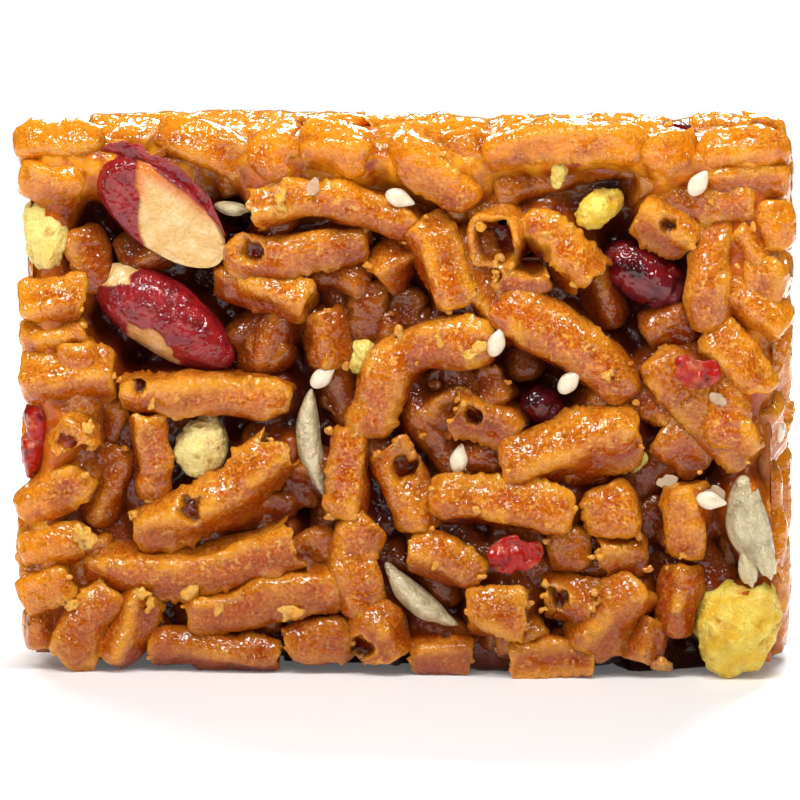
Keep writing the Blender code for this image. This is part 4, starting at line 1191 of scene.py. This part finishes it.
def reaching(strand):
    """The strand with an end that is near the left or right side drawn out to that side."""
    run = (strand.end - strand.start).normalized()
    ends = [strand.start, strand.end]
    for number, end in enumerate(ends):
        outward = run if number else -run
        gap = WIDTH / 2 - SIDE_GAP - abs(end.x)
        if 0 < gap < SIDE_NEAR and outward.x * end.x > 0 and abs(outward.x) > 0.6:
            ends[number] = end + outward * gap / abs(outward.x)
    return Strand(ends[0], strand.bend, ends[1], strand.girth)


def dressed(shells):
    """Marks how deep each point of these shells lies in the block, for painted shade, and how near its
    glazed rim, for glaze that is partly painted light.
    """
    low, high = np.array((LEFT, FRONT, 0)), np.array((RIGHT, BACK, HEIGHT))
    for points, marks in shells:
        walls = np.minimum(points - low, high - points)[..., :2].min(axis=-1)
        marks["deep"] = np.clip(np.minimum(walls, HEIGHT - points[..., 2]), 0, DEEPEST_MARK)
        rim = np.minimum(HEIGHT - points[..., 2], GLAZE_SIDES + WIDTH / 2 - np.abs(points[..., 0]))
        uneven = smooth_noise(points, GLAZE_GRAIN, 31) * GLAZE_UNEVEN
        # Glaze near the top and side rims, partly painted light.
        marks["glaze"] = 1 - step(rim + uneven, *GLAZE_FADES)
    return shells


def add_to_block(name, shells, material):
    """Makes a piece that stands for part of the block's own solid."""
    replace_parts(make_piece(name, shells, material), "strand_block")


def tear(face, holes, points, marks):
    """Pushes the near side of a strand inwards at each hole in a face, and lays its crumb bare round
    it, with painted shade in the middle of the hole.
    """
    inward = -np.array(face.out)
    local = points - np.array(face.corner)
    shallow = 1 - step(local @ inward, *HOLE_FADES)
    for across, up, radius in holes:
        away = np.hypot(local @ np.array(face.across) - across, local @ np.array(face.up) - up)
        away = away + smooth_noise(points, 0.9, 40) * 0.45
        inside = (1 - step(away, radius * 0.7, radius)) * shallow
        round_it = (1 - step(away, radius, radius * 1.35)) * shallow
        # The middle of a hole gets painted shade.
        deepest = (1 - step(away, radius * 0.5, radius * 0.85)) * shallow
        points += inside[..., None] * inward * HOLE_DEPTH
        marks["hole"] = np.maximum(marks["hole"], deepest)
        marks["crumb"] = np.maximum(marks["crumb"], round_it * 0.9)


# Fried crust is golden to orange brown, paler on its ridges and cream where it is broken. Painted
# light turns its upward sides golden; its raised bumps are paler, partly blistered crust and partly
# painted light; near the rim the glaze orange is partly painted light. Painted shade reddens its
# dents, its downward sides and the lower strands, and darkens its hollows, its holes and what lies
# deep. The syrup coat breaks the light into small glints.
dough, tree = new_material("fried_dough_in_malt_syrup")
deepness = {"Value": add_node(tree, "ShaderNodeAttribute", attribute_name="deep").outputs["Fac"]}
# Painted shade: the deeper a point lies, the redder and then the more maroon it is.
shaded = add_node(tree, "ShaderNodeMapRange", {**deepness, "From Min": 0.7, "From Max": 3.6}).outputs[0]
depth_shade = add_node(tree, "ShaderNodeMapRange", {**deepness, "From Min": 2.6, "From Max": 6.0}).outputs[0]
coated = {**deepness, "From Min": 3.0, "From Max": 6.5, "To Min": 1.0, "To Max": 0.25}
colour = layered(
    tree,
    CRUST_ORANGE,
    [
        (CRUST_GOLD, 0.85, "tone", grain(tree, 3.5, 0.3, 0.6)),
        (CRUST_TAN, 0.7, grain(tree, 2.2, 0.46, 0.6)),
        (CRUST_RED_AND_SHADE, 0.4, grain(tree, 1.7, 0.52, 0.68)),
        # painted shade in the dents
        (CRUST_RED_AND_SHADE, 0.5, "dented"),
        # painted light on the upward sides
        (CRUMB_GOLD_AND_LIGHT, 0.75, "crest", grain(tree, 1.6, 0.3, 0.6)),
        # raised bumps paler, partly blistered crust and partly painted light
        (CRUMB_GOLD_AND_LIGHT, 0.4, "raised"),
        (CRUMB_GOLD_AND_LIGHT, 0.6, "ridge", grain(tree, 1.2, 0.3, 0.6)),
        (CRUST_RED_AND_SHADE, 0.42, grain(tree, 0.35, 0.48, 0.34)),
        (CRUMB_GOLD_AND_LIGHT, 0.6, grain(tree, 0.35, 0.52, 0.66)),
        (CRUMB_CREAM, 0.55, grain(tree, 0.7, 0.58, 0.66, 6.0)),
        (CRUMB_DARK_AND_HOLE_SHADE, 0.5, grain(tree, 0.6, 0.66, 0.72, 2.0)),
        # painted shade on downward sides and on the lower strands
        (CRUST_RED_AND_SHADE, 0.6, "under"),
        # glaze near the rims, partly painted light
        (GLAZE_AND_LIGHT_ORANGE, 0.75, "glaze", grain(tree, 1.6, 0.3, 0.6)),
        (CRUMB_GOLD_AND_LIGHT, 0.9, "crumb"),
        (CRUMB_CREAM, 0.9, "pale", grain(tree, 0.8, 0.3, 0.5)),
        # painted shade in hollow ends and torn holes
        (CRUMB_DARK_AND_HOLE_SHADE, 1.0, "hole"),
        (SHADED_RED, 0.8, shaded),
        # painted shade, darkest where it lies deep
        (DEPTH_SHADE_MAROON, 0.95, depth_shade),
    ],
)
crust = {"Height": grain(tree, 0.35, 0.2, 0.8, 4.0), "Distance": 0.3 * MM}
syrup = {"Height": grain(tree, 1.2, 0.2, 0.8, 1.5), "Distance": 0.25 * MM}
look = {
    "Base Color": colour,
    "Roughness": 0.5,
    "Specular IOR Level": 0.04,
    "Normal": add_node(tree, "ShaderNodeBump", crust).outputs[0],
    "Coat Weight": add_node(tree, "ShaderNodeMapRange", coated).outputs[0],
    "Coat Roughness": 0.03,
    "Coat Tint": linear(SYRUP_CLEAR),
    "Coat Normal": add_node(tree, "ShaderNodeBump", syrup).outputs[0],
    "Subsurface Weight": 0.2,
    "Subsurface Radius": (1.0, 0.35, 0.08),
    "Subsurface Scale": 0.0015,
}
surface = add_node(tree, "ShaderNodeBsdfPrincipled", look).outputs["BSDF"]
add_node(tree, "ShaderNodeOutputMaterial", {"Surface": surface})

# How fine each group is: corners round a strand, millimetres from ring to ring; and its first seed
FRONT_FINE, HIDDEN_FINE, SUNK_FINE = (38, 0.27), (26, 0.4), (24, 0.4)
BETWEEN_FINE, INNER_FINE = (20, 0.5), (12, 0.9)
FRONT_SEED, SUNK_SEED, BETWEEN_SEED, INNER_SEED = 1000, 1500, 2500, 3000

laid_shells = {"front_upper": [], "front_middle": [], "front_lower": []}
tilts = np.random.default_rng(71).uniform(0, FRONT_TILT, (len(front), 2))
for number, (strand, ends) in enumerate(front):
    strand = reaching(strand)
    middle = strand.at(0.5)
    inside = min(middle.z, HEIGHT - middle.z, WIDTH / 2 - abs(middle.x)) > EDGE_ZONE
    down = SHORT_SUNK if inside and strand.length() < SHORT_STRAND else 0.0
    lies_flat = abs(strand.start.y - strand.end.y) < END_ON_DEPTH
    at_start, at_end = tilts[number] * (inside and lies_flat) + down
    strand = Strand(
        strand.start + Y * at_start,
        strand.bend + Y * (at_start + at_end) / 2,
        strand.end + Y * at_end,
        strand.girth,
    )
    shell = strand_shell(strand, ends, *FRONT_FINE, FRONT_SEED + number)
    tear(FACES["front"], FRONT_HOLES, *shell)
    height = strand.at(0.5).z / HEIGHT
    place = "front_upper" if height > 0.66 else "front_middle" if height > 0.33 else "front_lower"
    laid_shells[place].append(shell)
laid_shells["front_sunk"] = []
for number, (*ends, sink) in enumerate(SUNK_STRANDS):
    strand = laid(FACES["front"], ends, 0.2, (sink, sink + 0.4), STRAND_GIRTH)
    laid_shells["front_sunk"].append(strand_shell(strand, "cc", *SUNK_FINE, SUNK_SEED + number))
torn_draws = np.random.default_rng(70)
for place, strands in hidden.items():
    face = FACES[place]
    lowest, highest = (1, 1, HOLE_SIZES[0]), (face.width - 1, face.height - 1, HOLE_SIZES[1])
    holes = torn_draws.uniform(lowest, highest, (HOLES_ELSEWHERE.get(place, 0), 3))
    laid_shells[place] = []
    for strand in strands:
        ends = "".join(torn_draws.choice(list("cchtr"), 2))
        shell = strand_shell(strand, ends, *HIDDEN_FINE, torn_draws.integers(2000, 9000))
        tear(face, holes, *shell)
        laid_shells[place].append(shell)
laid_shells["between"] = [
    strand_shell(strand, "ch", *BETWEEN_FINE, BETWEEN_SEED + number)
    for number, strand in enumerate(between)
]
laid_shells["inner"] = [
    strand_shell(strand, "cc", *INNER_FINE, INNER_SEED + number)
    for number, strand in enumerate(inner)
]
for place, shells in laid_shells.items():
    add_to_block("strands_" + place, dressed(shells), dough)

# Malt syrup: boiled to a soft set, it ran into the creases between the strands and holds them.
# Its surface closes the strands' own as a ball would, a wider one at the edges of the block.
SYRUP_CELL = {"front": 0.4, "back": 0.6, "left": 0.6, "right": 0.6, "top": 0.6}
NARROW_BALL, WIDE_BALL = 0.6, 1.3
SYRUP_REACH = 9.0
SLAB_RIM = {"front": 1.6, "back": 1.6, "left": 3.4, "right": 3.4, "top": 1.6}
# How far it has sunk, at the rim and in the middle of a face; the rim's share on the top, and how
# far it reaches from the top edge and from a side edge
RIM_SUNK, MIDDLE_SUNK = 0.5, 2.9
TOP_SHARE, TOP_REACH, SIDE_REACH = 0.8, (4.0, 9.0), (2.5, 8.0)
# Its waves: how high and how wide; the drop at its border; and how much narrower its back is
WAVES = ((0.1, 1.0), (0.3, 2.4))
BORDER_WIDE, BORDER_DROP = 2.0, 1.5
BACK_INSET, BACK_ROWS = 6, 8
SYRUP_AMBER, SYRUP_GOLD = "8E2E04", "CE680A"


def shifted(heights, i, j):
    """The array moved by i rows and j columns, its edges repeated."""
    rows = np.clip(np.arange(heights.shape[0]) + i, 0, heights.shape[0] - 1)
    columns = np.clip(np.arange(heights.shape[1]) + j, 0, heights.shape[1] - 1)
    return heights[np.ix_(rows, columns)]


def closed_by_ball(depth, radius, cell):
    """Where a ball rolled over the surface reaches: the greatest of the least, less the ball."""
    reach = int(radius / cell)
    offsets = [
        (i, j, math.sqrt(radius**2 - (i * i + j * j) * cell**2))
        for i in range(-reach, reach + 1)
        for j in range(-reach, reach + 1)
        if (i * i + j * j) * cell**2 <= radius**2
    ]
    rolled = np.min([shifted(depth, i, j) - high for i, j, high in offsets], axis=0)
    return np.max([shifted(rolled, i, j) + high for i, j, high in offsets], axis=0)


def depth_map(face, rim, cell, clouds):
    """How deep the nearest point lies behind each cell of a grid on a face."""
    columns = np.arange(rim, face.width - rim, cell)
    rows = np.arange(rim, face.height - rim, cell)
    depth = np.full((len(columns), len(rows)), SYRUP_REACH)
    for cloud in clouds:
        local = cloud.reshape(-1, 3) - np.array(face.corner)
        deep = -local @ np.array(face.out)
        i = np.round((local @ np.array(face.across) - rim) / cell).astype(int)
        j = np.round((local @ np.array(face.up) - rim) / cell).astype(int)
        kept = (i >= 0) & (i < len(columns)) & (j >= 0) & (j < len(rows)) & (deep < SYRUP_REACH)
        np.minimum.at(depth, (i[kept], j[kept]), deep[kept])
    depth = np.min([shifted(depth, i, j) for i in (-1, 0, 1) for j in (-1, 0, 1)], axis=0)
    return columns, rows, depth


def syrup_slab(face, rim, cell, clouds):
    """The set syrup behind a face: its surface on a grid, a coarse back, and walls between."""
    columns, rows, depth = depth_map(face, rim, cell, clouds)
    narrow = closed_by_ball(depth, NARROW_BALL, cell)
    wide = closed_by_ball(depth, WIDE_BALL, cell)
    x, y = columns[:, None], rows[None]
    places = np.stack([x + 0 * y, y + 0 * x, 0 * x + 0 * y], axis=-1)
    uneven = smooth_noise(places, 6.0, 41) * 2
    share = 1 - step(np.minimum(x, face.width - x) + uneven, *SIDE_REACH)
    if face.out.z > 0.5:
        share = np.maximum(share, TOP_SHARE)
    else:
        share = np.maximum(share, 1 - step(face.height - y + uneven, *TOP_REACH))
    surface = narrow + (wide - narrow) * share + MIDDLE_SUNK + (RIM_SUNK - MIDDLE_SUNK) * share
    for _ in range(2):
        surface = np.mean([shifted(surface, i, j) for i in (-1, 0, 1) for j in (-1, 0, 1)], axis=0)
    surface += sum(high * smooth_noise(places, wide, 42 + k) for k, (high, wide) in enumerate(WAVES))
    border = np.minimum(np.minimum(x - rim, columns[-1] - x), np.minimum(y - rim, rows[-1] - y))
    surface += (1 - step(border, 0.0, BORDER_WIDE)) * BORDER_DROP
    surface = np.minimum(surface, SYRUP_REACH - 0.5)
    back = np.linspace(rows[-1] - BACK_INSET, rows[0] + BACK_INSET, BACK_ROWS)
    rings = []
    for i, column in enumerate(columns):
        inward = np.clip(column, columns[0] + BACK_INSET, columns[-1] - BACK_INSET)
        near_side = [face.at(column, row, deep) for row, deep in zip(rows, surface[i])]
        rings.append(near_side + [face.at(inward, row, SYRUP_REACH) for row in back])
    return np.array(rings)


# Malt syrup is clear amber: thin, it lights up gold. Near the rim the glaze orange is partly painted
# light; where it lies deep, painted shade makes maroon gaps, and the coat gives smooth glints.
material, tree = new_material("set_malt_syrup")
deepness = {"Value": add_node(tree, "ShaderNodeAttribute", attribute_name="deep").outputs["Fac"]}
# Painted shade: the syrup turns maroon with depth in the gaps.
depth_shade = add_node(tree, "ShaderNodeMapRange", {**deepness, "From Min": 1.2, "From Max": 4.6}).outputs[0]
ripples = {"Height": grain(tree, 1.2, 0.2, 0.8, 1.5), "Distance": 0.3 * MM}
look = {
    "Base Color": layered(
        tree,
        SYRUP_AMBER,
        [
            (SYRUP_GOLD, 0.8, grain(tree, 2.0)),
            # glaze near the rims, partly painted light
            (GLAZE_AND_LIGHT_ORANGE, 0.8, "glaze", grain(tree, 1.6)),
            # painted shade in the deep gaps
            (DEPTH_SHADE_MAROON, 0.97, depth_shade),
        ],
    ),
    "Roughness": 0.5,
    "Specular IOR Level": 0.04,
    "Coat Weight": 0.7,
    "Coat Roughness": 0.04,
    "Coat Normal": add_node(tree, "ShaderNodeBump", ripples).outputs[0],
}
surface = add_node(tree, "ShaderNodeBsdfPrincipled", look).outputs["BSDF"]
add_node(tree, "ShaderNodeOutputMaterial", {"Surface": surface})
clouds = [points for shells in laid_shells.values() for points, _ in shells] + topping_clouds
slabs = [
    (syrup_slab(FACES[name], SLAB_RIM[name], cell, clouds), {}) for name, cell in SYRUP_CELL.items()
]
add_to_block("syrup", dressed(slabs), material)

# The heart: crushed strands in syrup, pressed into one mass behind the outer ones. Light hardly
# gets there, and its colour is painted shade, dark maroon all over, which keeps the gaps dark. It is
# a rounded box, |x|^8 + |y|^8 + |z|^8 = 1.
HEART_INSET = np.array((6.0, 7.5, 6.0))
HEART_GRID, HEART_POWER = (60, 80), 8
way = ball(*HEART_GRID)
box = way / (np.abs(way) ** HEART_POWER).sum(axis=-1, keepdims=True) ** (1 / HEART_POWER)
heart = box * (np.array((WIDTH, DEPTH, HEIGHT)) / 2 - HEART_INSET)
heart += way * (smooth_noise(heart, 3.5, 60) * 0.8)[..., None] + (0, 0, HEIGHT / 2)
# The deepest mark gives it the painted shade all over.
marks = {"tone": 0.2, "deep": DEEPEST_MARK}
add_to_block("syrup_heart", [(heart, marks)], dough)

# Small bits of puffed corn and of kernel, broken off in the mixing. They show deep between the
# front strands, where they are stuck in the syrup.
PUFF_BITS = (
    Topping("puff_bit", "puff", "front", (35.6, 31.8), -20, (5.2, 4.2, 4.0), 2.3),
    Topping("puff_bit", "puff", "front", (61.6, 21.9), 5, (4.7, 2.9, 3.4), 2.2),
    Topping("puff_bit", "puff", "front", (55.0, 51.0), 80, (3.6, 1.6, 1.6), 1.0),
)
KERNEL_BIT = Topping("kernel_bit", "kernel", "front", (22.2, 47.2), -8, (3.6, 1.4, 2.8), 1.2)
shells = []
for number, bit in enumerate(PUFF_BITS):
    points, pores = puff_shell(bit, 240 + number * 4)
    shells.append((in_place(bit, points), {"pore": pores, "pale": PALE}))
add_to_block("puff_bits", shells, puff_finish)
points, marks = kernel_shell(KERNEL_BIT.size, 340)
add_to_block("kernel_bit", [(in_place(KERNEL_BIT, points), marks)], kernel_finish)

# Sesame: hulled white seeds, tear shaped, some with a tan tip. They were strewn on last and are
# stuck by their flat side to the syrup.
SESAME_SIZE, SESAME_TAPER = (3.1, 1.9, 1.3), 0.5
SESAME_GRID = (24, 20)
SESAME_BEDDED = 0.75
SESAME_WHITE, SESAME_TAN = "F0E2C6", "A87032"
# Across, up, turn and sink of each on the cut face
FRONT_SESAME = (
    (39.2, 48.2, -20, 0.6),
    (69.0, 49.9, 55, 0.2),
    (48.9, 33.9, 70, 0.5),
    (45.0, 22.0, 80, 2.3),
    (56.2, 30.0, 50, 0.9),
    (31.3, 30.2, 40, 1.6),
    (70.4, 18.2, -10, 0.2),
)
HIDDEN_SESAME = {"top": 4, "back": 5, "left": 2, "right": 2}
seeds = [
    Topping("sesame", "sesame", "front", (across, up), turn, SESAME_SIZE, sink)
    for across, up, turn, sink in FRONT_SESAME
]
draws = random.Random(SEED + 1)
for name, wanted in HIDDEN_SESAME.items():
    face = FACES[name]
    here = []
    for strand in all_hidden:
        deeps = [abs((end - face.corner).dot(face.out)) for end in (strand.start, strand.end)]
        if max(deeps) < STRAND_GIRTH:
            here.append(strand)
    for strand in draws.sample(here, min(wanted, len(here))):
        offset = strand.at(draws.uniform(0.3, 0.7)) - face.corner
        sink = -offset.dot(face.out) - strand.girth / 2 - SESAME_SIZE[2] * (1 - SESAME_BEDDED)
        middle = (offset.dot(face.across), offset.dot(face.up))
        turn = draws.uniform(0, 180)
        seeds.append(Topping("sesame", "sesame", name, middle, turn, SESAME_SIZE, sink))

# A hulled seed is waxy and lets light in, so it looks creamy white with a soft shine.
material, tree = new_material("hulled_sesame")
look = {
    "Base Color": layered(
        tree, SESAME_WHITE, [(SESAME_TAN, 0.9, "tip"), (SESAME_TAN, 0.25, grain(tree, 0.8))]
    ),
    "Roughness": 0.3,
    "Coat Weight": 0.8,
    "Coat Roughness": 0.08,
    "Subsurface Weight": 0.3,
    "Subsurface Radius": (1.0, 0.8, 0.6),
    "Subsurface Scale": 0.0008,
}
surface = add_node(tree, "ShaderNodeBsdfPrincipled", look).outputs["BSDF"]
add_node(tree, "ShaderNodeOutputMaterial", {"Surface": surface})
shells = []
for number, seed in enumerate(seeds):
    way = ball(*SESAME_GRID)
    points = way * np.array(seed.size) / 2
    points[..., 1:] *= 1 - SESAME_TAPER * step(way[..., :1], -0.2, 1.0)
    tip = step(way[..., 0] + smooth_noise(way, 0.4, 70 + number) * 0.2, 0.75, 0.95) * (number % 2)
    shells.append((placed(seed, points), {"tip": tip}))
add_to_block("sesame_seeds", shells, material)

# Crumbs: bits of crust that broke off in the press. They are stuck in the syrup, most of them
# round the broken ends of the strands.
CRUMB_CELL, CRUMB_RIM = 0.5, 1.0
CRUMB_SIZES, END_CRUMB_SIZES = (0.5, 1.3), (0.5, 1.0)
# Their grids, how high and how wide their rags are, and a seed
CRUMB_FORM = ((12, 14), 0.8, 0.5, 81)
END_CRUMB_FORM = ((9, 12), 0.9, 0.4, 82)
CRUMBS = {"front": 24, "top": 20, "back": 24, "left": 10, "right": 10}
# The larger ones of the front: across, up, size
FRONT_CRUMBS = (
    (46.6, 32.9, 2.3), (18.0, 8.4, 1.7), (28.0, 6.4, 2.2), (20.8, 6.7, 1.4), (6.0, 7.0, 1.6),
    (13.7, 6.9, 1.5), (7.8, 24.9, 1.6), (27.3, 47.9, 1.9), (13.0, 8.2, 1.5), (65.5, 1.3, 2.0),
    (7.0, 13.9, 2.6), (39.0, 34.9, 1.5), (43.0, 34.2, 1.3), (75.4, 22.0, 1.8), (60.0, 30.6, 1.4),
)
# How many lie round an end that is rounded, cut, hollow or torn
CRUMBS_PER_END = {"r": 0, "c": 1, "h": 3, "t": 4}
# A crumb deeper than this is left out, and one that isn't sinks in by this share of its size
CRUMB_DEEPEST, CRUMB_BEDDED = 3, 0.2
draws = np.random.default_rng(80)


def depth_at(depth, across, up):
    """What a map with the crumbs' cells and rim says at this place."""
    return depth[round((across - CRUMB_RIM) / CRUMB_CELL), round((up - CRUMB_RIM) / CRUMB_CELL)]


def crumb_shell(size, grid, high, wide, seed):
    """An ellipsoid whose radius is 1 + high times a noise of this width."""
    points = ball(*grid) * size / 2
    rag = smooth_noise(points + draws.uniform(0, 90, 3), wide, seed)
    return points * (1 + high * rag)[..., None]


shells = []
for name, wanted in CRUMBS.items():
    face = FACES[name]
    *_, depth = depth_map(face, CRUMB_RIM, CRUMB_CELL, clouds)
    spots = list(FRONT_CRUMBS) if name == "front" else []
    low, high = (2, 2, CRUMB_SIZES[0]), (face.width - 2, face.height - 2, CRUMB_SIZES[1])
    spots += [draws.uniform(low, high) for _ in range(wanted)]
    for across, up, size in spots:
        deep = depth_at(depth, across, up)
        place = np.array(face.at(across, up, deep + 1))
        if deep > CRUMB_DEEPEST or any(inside_topping(place, topping) for topping in toppings):
            continue
        shape = (size, size * 0.7, size * 0.6)
        crumb = Topping("crumb", "crumb", name, (across, up), draws.uniform(0, 180), shape, 0)
        points = crumb_shell(np.array(shape), *CRUMB_FORM)
        points = placed(crumb, points) - np.array(face.out) * (deep - size * CRUMB_BEDDED)
        marks = {"tone": draws.uniform(), "crumb": 0.6, "ridge": 0.3, "pale": min(1, size / 2)}
        shells.append((np.maximum(points, (LEFT - 1, FRONT - 1, 0)), marks))
for strand, ends in front:
    places, across, other = frames_along(strand, 8)
    for at_end, kind in zip((0, -1), ends):
        for _ in range(CRUMBS_PER_END[kind]):
            outward = -Y * draws.uniform(0.2, 1) + X * draws.uniform(-1, 1)
            outward = np.array(outward + Z * draws.uniform(-0.6, 1))
            aside = sum(way * outward.dot(way) for way in (across[at_end], other[at_end]))
            aside /= np.linalg.norm(aside)
            size = draws.uniform(*END_CRUMB_SIZES) * np.array((1, 0.8, 0.8))
            points = crumb_shell(size, *END_CRUMB_FORM)
            points = points + places[at_end] + aside * strand.girth * draws.uniform(0.3, 0.44)
            marks = {"tone": draws.uniform(), "crumb": 0.8, "ridge": 0.5, "pale": 0.2}
            shells.append((np.maximum(points, (LEFT - 0.5, FRONT - 0.5, 0)), marks))
add_to_block("crumbs", dressed(shells), dough)

# Flakes of seed skin: loose, papery bits from the kernels and the sesame, thin, pale and almost
# clear where they are wet. They lie flat on the strands of the cut face.
# Across, up, turn, length and width of each
FLAKES = (
    (70.5, 18.6, 20, 2.6, 1.9),
    (71.0, 28.4, -30, 1.9, 1.3),
    (66.0, 20.2, 15, 2.2, 1.2),
    (30.6, 49.4, 70, 1.9, 1.2),
)
FLAKE_THICK, FLAKE_RISES = 0.2, 0.5
FLAKE_PALE = "EBCDA4"
# Wet seed skin lets more than half the light through, so the crust shows under it.
material, tree = new_material("seed_skin_flake")
look = {
    "Base Color": linear(FLAKE_PALE),
    "Roughness": 0.25,
    "Coat Weight": 1.0,
    "Coat Roughness": 0.05,
    "Transmission Weight": 0.55,
    "IOR": 1.4,
}
surface = add_node(tree, "ShaderNodeBsdfPrincipled", look).outputs["BSDF"]
add_node(tree, "ShaderNodeOutputMaterial", {"Surface": surface})
*_, depth = depth_map(FACES["front"], CRUMB_RIM, CRUMB_CELL, clouds)
shells = []
for number, (across, up, turn, long, wide) in enumerate(FLAKES):
    deep = depth_at(depth, across, up) - FLAKE_RISES
    flake = Topping("flake", "flake", "front", (across, up), turn, (long, wide, 0.3), deep)
    t = np.linspace(-1, 1, 24)
    curl = 0.4 * t**2 + smooth_noise(t[:, None] * (2, 0, 0), 1, 90 + number) * 0.2
    path = np.stack([t * long / 2, 0 * t, curl], axis=1)
    uneven = 1 + 0.3 * smooth_noise(t[:, None] * (3, 0, 0), 1, 94 + number)
    span = wide * np.sqrt(np.clip(1 - t**2, 0.02, 1)) * uneven
    aside = np.tile((0.0, 0.95, 0.3), (len(t), 1))
    shells.append((placed(flake, ribbon(path, aside, span, FLAKE_THICK)), {}))
add_to_block("seed_flakes", shells, material)
